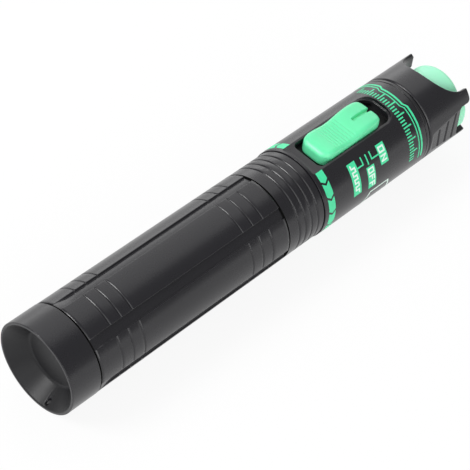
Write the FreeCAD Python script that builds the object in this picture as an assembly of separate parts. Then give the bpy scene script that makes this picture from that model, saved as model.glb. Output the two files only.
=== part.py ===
import FreeCAD, Part
import math
import os

# Visual fault locator: a pen-shaped red light source for optical fibre.
# Lengths are millimetres.  The pen lies along X: tail at -X, output port at +X,
# switch on top (+Z).  It is drawn about its own axis with the tail rim at x = 0,
# and placed() moves each solid so that the pen lies on z = 0 about x = 0.
# Angles about the axis are in degrees from the top, positive towards -Y.

V = FreeCAD.Vector
AXIS = V(1, 0, 0)
EPS = 0.01                        # cutters run this far past a face that they open
REACH = 40.0                      # length of a cutter that passes right through
ROUND_RUNS = 3                    # short runs in a rounded corner of an outline

# ---- clearances -------------------------------------------------------------------
SEAM = 0.15                       # gap between two outer shells in line
SLIP = 0.10                       # play of a piece that is pushed into its seat
GUIDE_GAP = 0.30                  # play of a piece that slides past another
THREAD_GAP = 0.30                 # bare radial gap that the screw thread fills

# ---- cells and their contacts ------------------------------------------------------
CELL_RADIUS = 7.1
CELL_LENGTH = 49.2
CELL_SHOULDER = 0.6
NUB_RADIUS = 2.7
NUB_LENGTH = 1.3
CONTACT_THICK = 0.4
SPRING_LENGTH = 5.0
SPRING_WIRE = 0.8
SPRING_TURNS = 3
SPRING_BASE_RADIUS = 5.6
SPRING_TIP_RADIUS = 3.2

# ---- grip sleeve -------------------------------------------------------------------
TAIL_STEP = 0.15                  # how far inside the housing radius the tail ring lies
TAIL_RING_LENGTH = 10.4
RIM_WALL = 1.05
RECESS_DEPTH = 5.8
RECESS_FLOOR_RADIUS = 9.2
END_WALL = 2.2
SLEEVE_WALL = 2.5
LANYARD_HOLE_RADIUS = 0.9
LANYARD_HOLE_X = 1.9
LANYARD_HOLE_ANGLE = 161.5
PANEL_STEP = 0.25                 # the same for the panels
PANEL_COUNT = 6
PANEL_CENTRE_ANGLE = 11.0
CHANNEL_ANGLE = 13.0
CHANNEL_DEPTH = 0.6
CHANNEL_RAMP = 6.0
PART_GROOVE_WIDTH = 0.5
PART_GROOVE_DEPTH = 0.5
CROSS_GROOVES = 3
CROSS_GROOVE_PITCH = 4.2
CROSS_GROOVE_WIDTH = 0.7
CROSS_GROOVE_DEPTH = 0.2
CROSS_GROOVE_REAR_INSET = 8.4
CROSS_GROOVE_FRONT_INSET = 7.3
BAND_STEP = 0.3                   # and for the grip band
BAND_LENGTH = 15.1
RING_GROOVES = 4
RING_GROOVE_PITCH = 2.72
RING_GROOVE_WIDTH = 0.6
RING_GROOVE_DEPTH = 0.4
RIB_COUNT = 6
RIB_THICK = 1.6
CELL_PLAY = 0.25
STRIP_ANGLE = 150.0               # the return strip lies between two ribs

# ---- front housing -----------------------------------------------------------------
HOUSING_RADIUS = 15.0
HOUSING_WALL = 2.4
CELL_SETBACK = 12.7               # how far the cell stack reaches past the sleeve
SPIGOT_LENGTH = 15.0
SPIGOT_WALL = 2.2
SPIGOT_RIB_THICK = 1.6
DECK_DEPTH = 1.52
DECK_REAR_INSET = 0.95
DECK_LIP = 0.4
OPENING_REAR_INSET = 5.75
OPENING_FRONT_INSET = 9.1
OPENING_HALF_WIDTH = 6.15
OPENING_REAR_ROUND = 1.0
OPENING_FRONT_ROUND = 3.8
RAIL_HEIGHT = 2.4
STOP_HEIGHT = 1.6
STOP_THICK = 1.5
STOP_ANGLE = 120.0

# ---- switch ------------------------------------------------------------------------
SWITCH_STEP = 2.1
SWITCH_POSITIONS = 3
KNOB_LENGTH = 28.0
KNOB_HALF_WIDTH = 5.75
KNOB_BACK = ((0.0, 1.2), (0.07, 2.1), (0.16, 2.5), (0.4, 1.5), (0.7, 3.4), (0.9, 3.1), (1.0, 1.6))
KNOB_SADDLE_POINT = 3             # which of those (share of length, rise over deck) is the saddle
KNOB_STATIONS = 14
KNOB_REAR_ROUND = 1.6
KNOB_FRONT_ROUND = 3.8
KNOB_EDGE_ROUND = 1.0
KNOB_BEVEL_DROP = 0.6
KNOB_BEVEL_RUN = 2.6
KNOB_SLOT_LENGTH = 9.0
KNOB_SLOT_WIDTH = 1.0
KNOB_SLOT_DEPTH = 1.3
KNOB_NOTCH_LENGTH = 1.6
KNOB_RIBS = 8
KNOB_RIB_PITCH = 1.15
KNOB_RIB_RADIUS = 0.4
KNOB_RIB_DEPTH = 0.2
GUIDE_DROP = 2.02                 # from the top of the housing's bore to the guide
GUIDE_THICK = 1.2
GUIDE_OVERLAP = 1.5
LEVER_SIZE = 2.2
LEVER_BITE = 1.9                  # how far the lever enters the knob
CASE_LENGTH = 9.4
CASE_WIDTH = 4.6
CASE_HEIGHT = 3.6

# ---- circuit board -----------------------------------------------------------------
BULKHEAD_THICK = 1.8
BOARD_THICK = 1.6
BOARD_EDGE_GAP = 0.4
BOARD_SCREW_RADIUS = 0.8
BOARD_SCREW_HEAD_RADIUS = 1.6
BOARD_SCREW_HEAD_HEIGHT = 0.9
BOARD_SCREW_LENGTH = 3.4
BOARD_SCREW_INSET = 2.6
CHIP_SIZE = (4.9, 3.9, 1.5)
TRIMMER_SIZE = (3.2, 3.4, 1.6)
CAPACITOR_SIZE = (2.0, 1.25, 1.1)
RESISTOR_SIZE = (1.6, 0.8, 0.5)
COMPONENT_GAP = 0.6
COMPONENT_ROW_PITCH = 2.0
STRIP_WIDTH = 3.0

# ---- laser -------------------------------------------------------------------------
BARREL_RADIUS = 6.0
BARREL_LENGTH = 13.0
DIODE_SEAT_DEPTH = 2.6
DIODE_FLANGE_RADIUS = 2.8
DIODE_FLANGE_THICK = 1.2
DIODE_CAN_RADIUS = 1.9
DIODE_CAN_LENGTH = 2.3
BEAM_RADIUS = 2.2
LENS_RADIUS = 3.5
LENS_THICK = 2.0
LENS_CROWN = 0.7
LENS_INSET = 3.0
LENS_RING_LENGTH = 2.0
LENS_RING_WALL = 1.1
LEAD_RADIUS = 0.45
LEAD_SPACING = 2.4
LEAD_GAP = 1.0                    # from the board's end to the barrel

# ---- output port -------------------------------------------------------------------
PORT_RADIUS = 4.0
PORT_FLANGE_RADIUS = 6.4
PORT_FLANGE_THICK = 1.6
PORT_NOSE = 10.2
PORT_LIP = 0.5
PORT_LIP_RADIUS = 1.45
PORT_STEP = 0.15                  # the seat that stops the ferrule sleeve behind
PORT_NUT_THICK = 1.9
PORT_NUT_FLATS = 9.6
NUT_SIDES = 6
FERRULE_RADIUS = 1.25
FERRULE_SLEEVE_WALL = 0.4
FERRULE_SLEEVE_LENGTH = 11.4
FERRULE_SLIT = 0.4

# ---- head crown and collar ---------------------------------------------------------
COLLAR_LENGTH = 1.25
CROWN_LENGTH = 20.4
CROWN_WALL = 2.5
BOSS_GAP = 0.65                   # from the opening to the boss inside the housing
WEB_REAR_STEP = 1.1               # how far the web starts behind the crown's shoulder
WEB_THICK = 4.6
CROWN_SHOULDER_ROUND = 0.4
TOP_SCALLOP_RADIUS = 11.0
TOP_SCALLOP_DEPTH = 11.4
SIDE_SCALLOP_DEPTH = 5.4
SIDE_SCALLOP_UP = 62.5            # angles of the side scallop's two walls
SIDE_SCALLOP_DOWN = 108.0
SIDE_SCALLOP_ROUND = 1.5
PRONG_ROUND = 0.9
FACET_START = 1.3
FACET_DEPTH = 0.45
FACET_SLOPE = 3.2
FACET_GROOVES = 3
FACET_GROOVE_START = 5.2
FACET_GROOVE_PITCH = 3.9
FACET_GROOVE_WIDTH = 0.9
FACET_GROOVE_DEPTH = 0.5
FACET_GROOVE_LEAN = 8.0

# ---- dust cap ----------------------------------------------------------------------
CAP_RADIUS = 10.35
CAP_WALL = 1.4
CAP_DOME = 4.1                    # from the end of the straight side to the apex
CAP_CROWN_RADIUS = 22.0
CAP_EDGE_ROUND = 1.9
CAP_RISE = 0.4                    # how far the straight side stops below the prong tips
CAP_SIDE = 13.6
CAP_SOCKET_WALL = 1.5
CAP_SOCKET_PLAY = 0.3
CAP_SEAT_GAP = 0.3
EAR_THICK = 3.2
EAR_INSET = 1.3                   # how far inside the housing radius an ear ends
EAR_SIDE_GAP = 3.5                # degrees between an ear and its scallop's walls
EAR_SEAT_GAP = 0.3

# ---- derived places along the axis ---------------------------------------------------
INNER_END = RECESS_DEPTH + END_WALL
SPRING_START = INNER_END + CONTACT_THICK
CELL_PITCH = CELL_LENGTH + NUB_LENGTH
REAR_CELL_START = SPRING_START + SPRING_LENGTH
FRONT_CELL_START = REAR_CELL_START + CELL_PITCH
STACK_END = FRONT_CELL_START + CELL_PITCH
SLEEVE_LENGTH = STACK_END - CELL_SETBACK
BAND_START = SLEEVE_LENGTH - BAND_LENGTH
PANEL_START = TAIL_RING_LENGTH + PART_GROOVE_WIDTH
PANEL_END = BAND_START - PART_GROOVE_WIDTH
HOUSING_START = SLEEVE_LENGTH + SEAM
OPENING_REAR = HOUSING_START + OPENING_REAR_INSET
TRAVEL = SWITCH_STEP * (SWITCH_POSITIONS - 1)
KNOB_REAR = OPENING_REAR + GUIDE_GAP + SLIP
KNOB_FRONT = KNOB_REAR + KNOB_LENGTH
OPENING_FRONT = KNOB_FRONT + TRAVEL + GUIDE_GAP
HOUSING_END = OPENING_FRONT + OPENING_FRONT_INSET
SPIGOT_START = HOUSING_START - SPIGOT_LENGTH
RING_START = SPIGOT_START - CONTACT_THICK
FINGER_END = RING_START - GUIDE_GAP
COLLAR_START = HOUSING_END + SEAM
COLLAR_END = COLLAR_START + COLLAR_LENGTH
CROWN_START = COLLAR_END + SEAM
CROWN_END = CROWN_START + CROWN_LENGTH
BOSS_START = OPENING_FRONT + BOSS_GAP
WEB_START = CROWN_START - WEB_REAR_STEP
WEB_END = WEB_START + WEB_THICK
NUT_START = WEB_START - PORT_NUT_THICK
BARREL_END = NUT_START - SLIP
BARREL_START = BARREL_END - BARREL_LENGTH
BULKHEAD_START = STACK_END + CONTACT_THICK
BULKHEAD_END = BULKHEAD_START + BULKHEAD_THICK
BOARD_START = BULKHEAD_END + GUIDE_GAP
BOARD_END = BARREL_START - LEAD_GAP
RAIL_START = BOARD_START + STRIP_WIDTH + SLIP
PORT_FRONT = WEB_END + PORT_FLANGE_THICK + PORT_NOSE
FERRULE_SLEEVE_END = PORT_FRONT - PORT_LIP - SLIP
FERRULE_SLEEVE_START = FERRULE_SLEEVE_END - FERRULE_SLEEVE_LENGTH
CAP_SHOULDER = CROWN_END - CAP_RISE
CAP_START = CAP_SHOULDER - CAP_SIDE
PEN_LENGTH = CAP_SHOULDER + CAP_DOME

# ---- derived radii and heights -------------------------------------------------------
TAIL_RADIUS = HOUSING_RADIUS - TAIL_STEP
PANEL_RADIUS = HOUSING_RADIUS - PANEL_STEP
BAND_RADIUS = HOUSING_RADIUS - BAND_STEP
REST_HEIGHT = TAIL_RADIUS         # the tail ring and the underside flat both rest on z = 0
SLEEVE_BORE = BAND_RADIUS - SLEEVE_WALL
MOUTH_BORE = SLEEVE_BORE + SLIP
SPIGOT_RADIUS = MOUTH_BORE - THREAD_GAP
SPIGOT_BORE = SPIGOT_RADIUS - SPIGOT_WALL
CELL_BORE = CELL_RADIUS + CELL_PLAY
HOUSING_BORE = HOUSING_RADIUS - HOUSING_WALL
CROWN_BORE = HOUSING_RADIUS - CROWN_WALL
BARREL_BORE = BARREL_RADIUS + SLIP
FERRULE_SLEEVE_RADIUS = FERRULE_RADIUS + FERRULE_SLEEVE_WALL
PORT_BEAM_RADIUS = FERRULE_SLEEVE_RADIUS - PORT_STEP

DECK_HEIGHT = HOUSING_RADIUS - DECK_DEPTH
DECK_HALF_WIDTH = math.sqrt(HOUSING_RADIUS ** 2 - DECK_HEIGHT ** 2) + EPS
EAR_REACH = HOUSING_RADIUS - EAR_INSET
GUIDE_TOP = HOUSING_BORE - GUIDE_DROP
KNOB_BOTTOM = GUIDE_TOP + GUIDE_GAP
GUIDE_BOTTOM = GUIDE_TOP - GUIDE_THICK
GUIDE_HALF_WIDTH = math.sqrt((HOUSING_BORE - SLIP) ** 2 - GUIDE_TOP ** 2)
CASE_TOP = GUIDE_BOTTOM - SLIP
BOARD_TOP = CASE_TOP - CASE_HEIGHT
BOARD_BOTTOM = BOARD_TOP - BOARD_THICK
BOARD_HALF_WIDTH = math.sqrt(HOUSING_BORE ** 2 - BOARD_TOP ** 2) - BOARD_EDGE_GAP
LEVER_X = (KNOB_REAR + KNOB_FRONT) / 2 - TRAVEL / 2
CASE_X = LEVER_X + TRAVEL / 2
SCREW_HEAD_TOP = BOARD_TOP + BOARD_SCREW_HEAD_HEIGHT
SCREW_HEAD_EDGE = math.sqrt((HOUSING_BORE - SLIP) ** 2 - SCREW_HEAD_TOP ** 2)
BOARD_SCREW_Y = SCREW_HEAD_EDGE - SLIP - BOARD_SCREW_HEAD_RADIUS
RAIL_INNER = BOARD_SCREW_Y - BOARD_SCREW_HEAD_RADIUS


# ---- helpers -------------------------------------------------------------------------
def tube(start, end, radius, bore=0.0):
    """A cylinder about the pen's axis, with a bore if one is given."""
    solid = Part.makeCylinder(radius, end - start, V(start, 0, 0), AXIS)
    if bore > 0:
        solid = solid.cut(Part.makeCylinder(bore, end - start + 2 * EPS, V(start - EPS, 0, 0), AXIS))
    return solid


def face_of(points):
    """A flat face inside a closed outline in the X-Z plane, given as (x, z) pairs."""
    corners = [V(x, 0, z) for x, z in points]
    return Part.Face(Part.makePolygon(corners + corners[:1]))


def turned(points, sweep=360.0):
    """The outline of (x, radius) pairs turned about the axis."""
    return face_of(points).revolve(V(0, 0, 0), AXIS, sweep)


def turn(solid, angle):
    """The solid turned about the axis by an angle from the top."""
    return solid.rotated(V(0, 0, 0), AXIS, angle)


def around(make_one, angles):
    """One copy of a solid at each angle."""
    return [turn(make_one, angle) for angle in angles]


def block(x_low, x_high, y_low, y_high, z_low, z_high):
    size = (x_high - x_low, y_high - y_low, z_high - z_low)
    return Part.makeBox(*size, V(x_low, y_low, z_low))


def bar(centre_x, centre_y, bottom, size):
    """A block of a stated size standing on a surface."""
    length, width, height = size
    return block(centre_x - length / 2, centre_x + length / 2,
                 centre_y - width / 2, centre_y + width / 2, bottom, bottom + height)


def plate(rear, front, half_width, rear_round, front_round, bottom, top):
    """An upright prism whose plan is a rectangle with rounded corners."""
    cosine = math.sqrt(0.5)

    def corner(x, y, radius, sign_x, sign_y):
        centre = V(x - sign_x * radius, y - sign_y * radius, bottom)
        middle = centre + V(sign_x * radius * cosine, sign_y * radius * cosine, 0)
        return V(centre.x, y, bottom), middle, V(x, centre.y, bottom)

    rear_left = corner(rear, half_width, rear_round, -1, 1)
    rear_right = corner(rear, -half_width, rear_round, -1, -1)
    front_right = corner(front, -half_width, front_round, 1, -1)
    front_left = corner(front, half_width, front_round, 1, 1)
    edges = [
        Part.Arc(*rear_left).toShape(),
        Part.LineSegment(rear_left[2], rear_right[2]).toShape(),
        Part.Arc(*reversed(rear_right)).toShape(),
        Part.LineSegment(rear_right[0], front_right[0]).toShape(),
        Part.Arc(*front_right).toShape(),
        Part.LineSegment(front_right[2], front_left[2]).toShape(),
        Part.Arc(*reversed(front_left)).toShape(),
        Part.LineSegment(front_left[0], rear_left[0]).toShape(),
    ]
    return Part.Face(Part.Wire(edges)).extrude(V(0, 0, top - bottom))


def polar(centre, radius, angle):
    """A point in the X-Z plane, at an angle in degrees from +X about a centre."""
    return (centre[0] + radius * math.cos(math.radians(angle)),
            centre[1] + radius * math.sin(math.radians(angle)))


def rounded_corner(centre, radius, start, end):
    """The points of a rounded corner of an outline, which is cut into a few short runs."""
    return [polar(centre, radius, start + (end - start) * k / ROUND_RUNS) for k in range(ROUND_RUNS + 1)]


def both_sides(solid):
    """The solid and its mirror image across the X-Z plane."""
    return [solid, solid.mirror(V(0, 0, 0), V(0, 1, 0))]


def one(solid):
    """The single solid that a boolean result holds."""
    return solid.removeSplitter().Solids[0]


def flat_underside(solid):
    """The solid with the flat that keeps the pen from rolling."""
    below = block(-REACH, PEN_LENGTH + REACH, -REACH, REACH, -REACH, -REST_HEIGHT)
    return solid.cut(below)


# ---- grip sleeve ---------------------------------------------------------------------
def sleeve_blank():
    """The sleeve before its channels: tail ring, panels, grip band and inside bores."""
    rim_centre = (RIM_WALL / 2, TAIL_RADIUS - RIM_WALL / 2)
    rim = rounded_corner(rim_centre, RIM_WALL / 2, 270, 180) + rounded_corner(rim_centre, RIM_WALL / 2, 180, 90)[1:]
    return turned(rim + [
        (TAIL_RING_LENGTH, TAIL_RADIUS),
        (TAIL_RING_LENGTH, PANEL_RADIUS),
        (BAND_START, PANEL_RADIUS),
        (BAND_START, BAND_RADIUS),
        (SLEEVE_LENGTH, BAND_RADIUS),
        (SLEEVE_LENGTH, MOUTH_BORE),
        (FINGER_END, MOUTH_BORE),
        (FINGER_END, SLEEVE_BORE),
        (INNER_END, SLEEVE_BORE),
        (INNER_END, 0),
        (RECESS_DEPTH, 0),
        (RECESS_DEPTH, RECESS_FLOOR_RADIUS),
    ])


def channel():
    """One lengthwise channel: it ramps down from the tail ring and ends in a step."""
    floor = PANEL_RADIUS - CHANNEL_DEPTH
    cutter = turned([
        (TAIL_RING_LENGTH, PANEL_RADIUS + EPS),
        (TAIL_RING_LENGTH + CHANNEL_RAMP, floor),
        (BAND_START - PART_GROOVE_WIDTH / 2, floor),
        (BAND_START - PART_GROOVE_WIDTH / 2, HOUSING_RADIUS + EPS),
        (TAIL_RING_LENGTH, HOUSING_RADIUS + EPS),
    ], CHANNEL_ANGLE)
    return turn(cutter, -CHANNEL_ANGLE / 2)


def parting_groove(x):
    """A square groove across one panel, centred at the top, where the panel meets a ring."""
    half, sweep = PART_GROOVE_WIDTH / 2, panel_sweep()
    return turn(turned([
        (x - half, HOUSING_RADIUS + 1),
        (x - half, PANEL_RADIUS - PART_GROOVE_DEPTH),
        (x + half, PANEL_RADIUS - PART_GROOVE_DEPTH),
        (x + half, HOUSING_RADIUS + 1),
    ], sweep), -sweep / 2)


def cross_groove(x):
    """A shallow V groove across one panel, centred at the top."""
    half, sweep = CROSS_GROOVE_WIDTH / 2, panel_sweep()
    slope = CROSS_GROOVE_DEPTH / half
    return turn(turned([
        (x, PANEL_RADIUS - CROSS_GROOVE_DEPTH),
        (x + half + EPS, PANEL_RADIUS + EPS * slope),
        (x - half - EPS, PANEL_RADIUS + EPS * slope),
    ], sweep), -sweep / 2)


def ring_groove(x):
    """A V groove all round the grip band."""
    half = RING_GROOVE_WIDTH / 2
    slope = RING_GROOVE_DEPTH / half
    return turned([
        (x, BAND_RADIUS - RING_GROOVE_DEPTH),
        (x + half + EPS, BAND_RADIUS + EPS * slope),
        (x - half - EPS, BAND_RADIUS + EPS * slope),
    ])


def panel_sweep():
    return 360.0 / PANEL_COUNT - CHANNEL_ANGLE


def grip_sleeve():
    pitch = 360.0 / PANEL_COUNT
    panel_angles = [PANEL_CENTRE_ANGLE + pitch * k for k in range(PANEL_COUNT)]
    channel_angles = [angle + pitch / 2 for angle in panel_angles]
    cutters = around(channel(), channel_angles)
    for x in (TAIL_RING_LENGTH + PART_GROOVE_WIDTH / 2, BAND_START - PART_GROOVE_WIDTH / 2):
        cutters += around(parting_groove(x), panel_angles)
    for k in range(CROSS_GROOVES):
        rear = TAIL_RING_LENGTH + CROSS_GROOVE_REAR_INSET + k * CROSS_GROOVE_PITCH
        front = BAND_START - CROSS_GROOVE_FRONT_INSET - k * CROSS_GROOVE_PITCH
        cutters += around(cross_groove(rear), panel_angles) + around(cross_groove(front), panel_angles)
    cutters += [ring_groove(SLEEVE_LENGTH - (k + 1) * RING_GROOVE_PITCH) for k in range(RING_GROOVES)]
    hole = Part.makeCylinder(LANYARD_HOLE_RADIUS, REACH, V(LANYARD_HOLE_X, 0, RECESS_FLOOR_RADIUS))
    sleeve = sleeve_blank().cut(cutters + [turn(hole, LANYARD_HOLE_ANGLE)])

    rib = block(INNER_END - EPS, FINGER_END, -RIB_THICK / 2, RIB_THICK / 2, CELL_BORE, SLEEVE_BORE + SLIP)
    rib_angles = [360.0 / RIB_COUNT * k for k in range(RIB_COUNT)]
    return one(sleeve.fuse(around(rib, rib_angles)))


def tail_contact():
    """A round plate on the inner end wall, with an arm out to the return strip."""
    disc = tube(INNER_END, INNER_END + CONTACT_THICK, CELL_RADIUS - SLIP)
    arm = block(INNER_END, INNER_END + CONTACT_THICK, -STRIP_WIDTH / 2, STRIP_WIDTH / 2,
                0, SLEEVE_BORE - 2 * SLIP)
    return one(disc.fuse(turn(arm, STRIP_ANGLE)))


def spring_path():
    """Half turns whose radius shrinks from the tail contact to the cell."""
    halves = 2 * SPRING_TURNS
    rise = (SPRING_LENGTH - SPRING_WIRE * (1 + math.sqrt(2)) / 2) / halves
    shrink = (SPRING_BASE_RADIUS - SPRING_TIP_RADIUS) / halves
    edges = []
    side, radius, centre = 1, SPRING_BASE_RADIUS, 0.0
    for k in range(halves):
        x = SPRING_START + SPRING_WIRE / 2 + k * rise
        start = V(x, 0, centre + side * radius)
        middle = V(x + rise / 2, side * radius, centre)
        end = V(x + rise, 0, centre - side * radius)
        edges.append(Part.Arc(start, middle, end).toShape())
        centre -= side * shrink
        radius -= shrink
        side = -side
    return Part.Wire(edges)


def tail_spring():
    """A conical coil between the tail contact and the rear cell."""
    path = spring_path()
    start = path.Vertexes[0].Point
    along = path.Edges[0].tangentAt(path.Edges[0].FirstParameter)
    across = along.cross(AXIS).normalize()
    outward = along.cross(across).normalize()
    half = SPRING_WIRE / 2
    corners = [(half, half), (half, -half), (-half, -half), (-half, half), (half, half)]
    section = Part.makePolygon([start + across * a + outward * b for a, b in corners])
    return path.makePipeShell([section], True, False)


def return_strip():
    """A flat strip along the sleeve that brings the tail contact to the mouth."""
    outer = SLEEVE_BORE - 2 * SLIP
    half = STRIP_WIDTH / 2
    strip = block(SPRING_START, FINGER_END, -half, half, outer - CONTACT_THICK, outer)
    finger = block(FINGER_END - CONTACT_THICK, FINGER_END, -half, half, SPIGOT_BORE + SLIP, outer)
    return one(turn(strip.fuse(finger), STRIP_ANGLE))


def cell(start):
    """A round dry cell with its raised front contact."""
    shoulder = start + CELL_LENGTH
    return turned([
        (start, 0),
        (start, CELL_RADIUS),
        (shoulder - CELL_SHOULDER, CELL_RADIUS),
        (shoulder, CELL_RADIUS - CELL_SHOULDER),
        (shoulder, NUB_RADIUS),
        (shoulder + NUB_LENGTH, NUB_RADIUS),
        (shoulder + NUB_LENGTH, 0),
    ])


# ---- front housing -------------------------------------------------------------------
def board_rail():
    """A ledge on the housing's inside wall that carries one edge of the board."""
    ledge = block(RAIL_START, BOARD_END, RAIL_INNER, HOUSING_RADIUS, BOARD_BOTTOM - RAIL_HEIGHT, BOARD_BOTTOM)
    return ledge.common(tube(HOUSING_START, HOUSING_END, HOUSING_BORE + SLIP))


def bulkhead_stop():
    """A low curved ledge in front of the bulkhead that takes the push of the cells."""
    start = BULKHEAD_END + SLIP
    inner, outer = HOUSING_BORE - STOP_HEIGHT, HOUSING_BORE + SLIP
    ledge = turned([(start, inner), (start, outer), (start + STOP_THICK, outer), (start + STOP_THICK, inner)],
                   STOP_ANGLE)
    return turn(ledge, 180 - STOP_ANGLE / 2)


def screw_places():
    """The board's two screws stand on the rails at its front end."""
    return [(BOARD_END - BOARD_SCREW_INSET, side * BOARD_SCREW_Y) for side in (-1, 1)]


def front_housing():
    shell = tube(HOUSING_START, HOUSING_END, HOUSING_RADIUS, HOUSING_BORE)
    spigot = tube(SPIGOT_START, HOUSING_START + HOUSING_WALL, SPIGOT_RADIUS, SPIGOT_BORE)
    shoulder = tube(HOUSING_START, HOUSING_START + HOUSING_WALL, HOUSING_BORE + SLIP, SPIGOT_BORE)
    rib = block(SPIGOT_START, HOUSING_START + HOUSING_WALL, -SPIGOT_RIB_THICK / 2, SPIGOT_RIB_THICK / 2,
                CELL_BORE, SPIGOT_BORE + SLIP)
    rib_angles = [360.0 / RIB_COUNT * k for k in range(RIB_COUNT)]
    shell = shell.fuse([spigot, shoulder, bulkhead_stop()] + around(rib, rib_angles) + both_sides(board_rail()))

    deck = plate(HOUSING_START + DECK_REAR_INSET, OPENING_FRONT + DECK_LIP, DECK_HALF_WIDTH,
                 OPENING_REAR_ROUND, OPENING_FRONT_ROUND + DECK_LIP, DECK_HEIGHT, HOUSING_RADIUS + EPS)
    opening = plate(OPENING_REAR, OPENING_FRONT, OPENING_HALF_WIDTH, OPENING_REAR_ROUND,
                    OPENING_FRONT_ROUND, 0, HOUSING_RADIUS)
    pilots = [Part.makeCylinder(BOARD_SCREW_RADIUS + SLIP / 2, REACH, V(x, y, BOARD_TOP), V(0, 0, -1))
              .common(block(0, PEN_LENGTH, -REACH, REACH, BOARD_BOTTOM - RAIL_HEIGHT, BOARD_TOP))
              for x, y in screw_places()]
    return one(flat_underside(shell.cut([deck, opening] + pilots)))


def contact_ring():
    """The brass ring on the spigot's end that the return strip presses on."""
    return tube(RING_START, SPIGOT_START, SPIGOT_RADIUS - SLIP, CELL_BORE)


# ---- switch --------------------------------------------------------------------------
def knob_back():
    """The knob's back in side view: two humps and the dipped finger saddle between them."""
    back = Part.BSplineCurve()
    back.interpolate([V(KNOB_REAR + share * KNOB_LENGTH, 0, DECK_HEIGHT + rise) for share, rise in KNOB_BACK])
    return back


def knob_section(x, top):
    """An upright outline across the knob, with its two upper corners rounded."""
    inner = KNOB_HALF_WIDTH - KNOB_EDGE_ROUND
    shoulder = rounded_corner((inner, top - KNOB_EDGE_ROUND), KNOB_EDGE_ROUND, 0, 90)
    half = [(KNOB_HALF_WIDTH, KNOB_BOTTOM)] + shoulder
    outline = half + [(-y, z) for y, z in reversed(half)] + half[:1]
    return Part.makePolygon([V(x, y, z) for y, z in outline])


def knob_body():
    """The sections lofted along the back, inside the knob's rounded plan, with a bevelled rear."""
    back = knob_back()
    first, last = back.FirstParameter, back.LastParameter
    stations = [back.value(first + (last - first) * k / KNOB_STATIONS) for k in range(KNOB_STATIONS + 1)]
    loft = Part.makeLoft([knob_section(point.x, point.z) for point in stations], True, False)
    plan = plate(KNOB_REAR, KNOB_FRONT, KNOB_HALF_WIDTH, KNOB_REAR_ROUND, KNOB_FRONT_ROUND,
                 KNOB_BOTTOM, HOUSING_RADIUS + REACH)
    bevel = face_of([
        (KNOB_REAR - EPS, DECK_HEIGHT - KNOB_BEVEL_DROP),
        (KNOB_REAR + KNOB_BEVEL_RUN, DECK_HEIGHT + REACH / 10),
        (KNOB_REAR - EPS, DECK_HEIGHT + REACH / 10),
    ]).extrude(V(0, REACH, 0)).translated(V(0, -REACH / 2, 0))
    return loft.common(plan).cut(bevel)


def knob_rib_grooves():
    """Round-bottomed grooves across the saddle that leave fine finger ribs."""
    back = knob_back()
    saddle = KNOB_BACK[KNOB_SADDLE_POINT]
    centre = back.parameter(V(KNOB_REAR + saddle[0] * KNOB_LENGTH, 0, DECK_HEIGHT + saddle[1]))
    pitch = KNOB_RIB_PITCH * (back.LastParameter - back.FirstParameter) / back.length()
    grooves = []
    for k in range(KNOB_RIBS):
        middle = back.value(centre + (k - (KNOB_RIBS - 1) / 2) * pitch)
        foot = V(middle.x, -REACH / 2, middle.z + KNOB_RIB_RADIUS - KNOB_RIB_DEPTH)
        grooves.append(Part.makeCylinder(KNOB_RIB_RADIUS, REACH, foot, V(0, 1, 0)))
    return grooves


def switch_knob():
    """The finger knob: ribbed across its saddle, and split into two lobes in front."""
    top = DECK_HEIGHT + max(rise for share, rise in KNOB_BACK)
    slot = block(KNOB_FRONT - KNOB_SLOT_LENGTH, KNOB_FRONT + 1, -KNOB_SLOT_WIDTH / 2, KNOB_SLOT_WIDTH / 2,
                 top - KNOB_SLOT_DEPTH, top + 1)
    notch = block(KNOB_FRONT - KNOB_NOTCH_LENGTH, KNOB_FRONT + 1, -KNOB_SLOT_WIDTH / 2, KNOB_SLOT_WIDTH / 2,
                  KNOB_BOTTOM - 1, top + 1)
    pocket = bar(LEVER_X, 0, KNOB_BOTTOM - EPS, (LEVER_SIZE + SLIP, LEVER_SIZE + SLIP, LEVER_BITE + SLIP))
    return one(knob_body().cut([slot, notch, pocket] + knob_rib_grooves()))


def switch_guide():
    """The black floor of the opening, slotted for the switch's lever."""
    floor = plate(OPENING_REAR - GUIDE_OVERLAP, BOSS_START - SLIP, GUIDE_HALF_WIDTH,
                  OPENING_REAR_ROUND, OPENING_REAR_ROUND, GUIDE_BOTTOM, GUIDE_TOP)
    slot = bar(CASE_X, 0, GUIDE_BOTTOM - EPS,
               (LEVER_SIZE + TRAVEL + 2 * GUIDE_GAP, LEVER_SIZE + 2 * GUIDE_GAP, GUIDE_THICK + 2 * EPS))
    return one(floor.cut(slot))


def lever_bottom():
    return CASE_TOP - CASE_HEIGHT / 3


def switch_lever():
    """The switch's moving lever: it stands in the case and fits into the knob."""
    bottom = lever_bottom() + SLIP
    return bar(LEVER_X, 0, bottom, (LEVER_SIZE, LEVER_SIZE, KNOB_BOTTOM + LEVER_BITE - bottom))


def switch_case():
    case = bar(CASE_X, 0, BOARD_TOP, (CASE_LENGTH, CASE_WIDTH, CASE_HEIGHT))
    slot = bar(CASE_X, 0, lever_bottom(),
               (LEVER_SIZE + TRAVEL + 2 * GUIDE_GAP, LEVER_SIZE + 2 * GUIDE_GAP, CASE_HEIGHT))
    return one(case.cut(slot))


# ---- circuit board and contacts ------------------------------------------------------
def bulkhead():
    """An insulating disc across the housing that carries the front cell contact."""
    disc = tube(BULKHEAD_START, BULKHEAD_END, HOUSING_BORE - SLIP)
    above = block(BULKHEAD_START - EPS, BULKHEAD_END + EPS, -REACH, REACH, GUIDE_BOTTOM - SLIP, REACH)
    y, low = strip_place()
    notch = block(BULKHEAD_START - EPS, BULKHEAD_END + EPS, y - CONTACT_THICK - SLIP, REACH,
                  low - SLIP, low + STRIP_WIDTH + SLIP)
    return one(disc.cut([above, notch, contact_tail(2 * SLIP)]))


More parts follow.
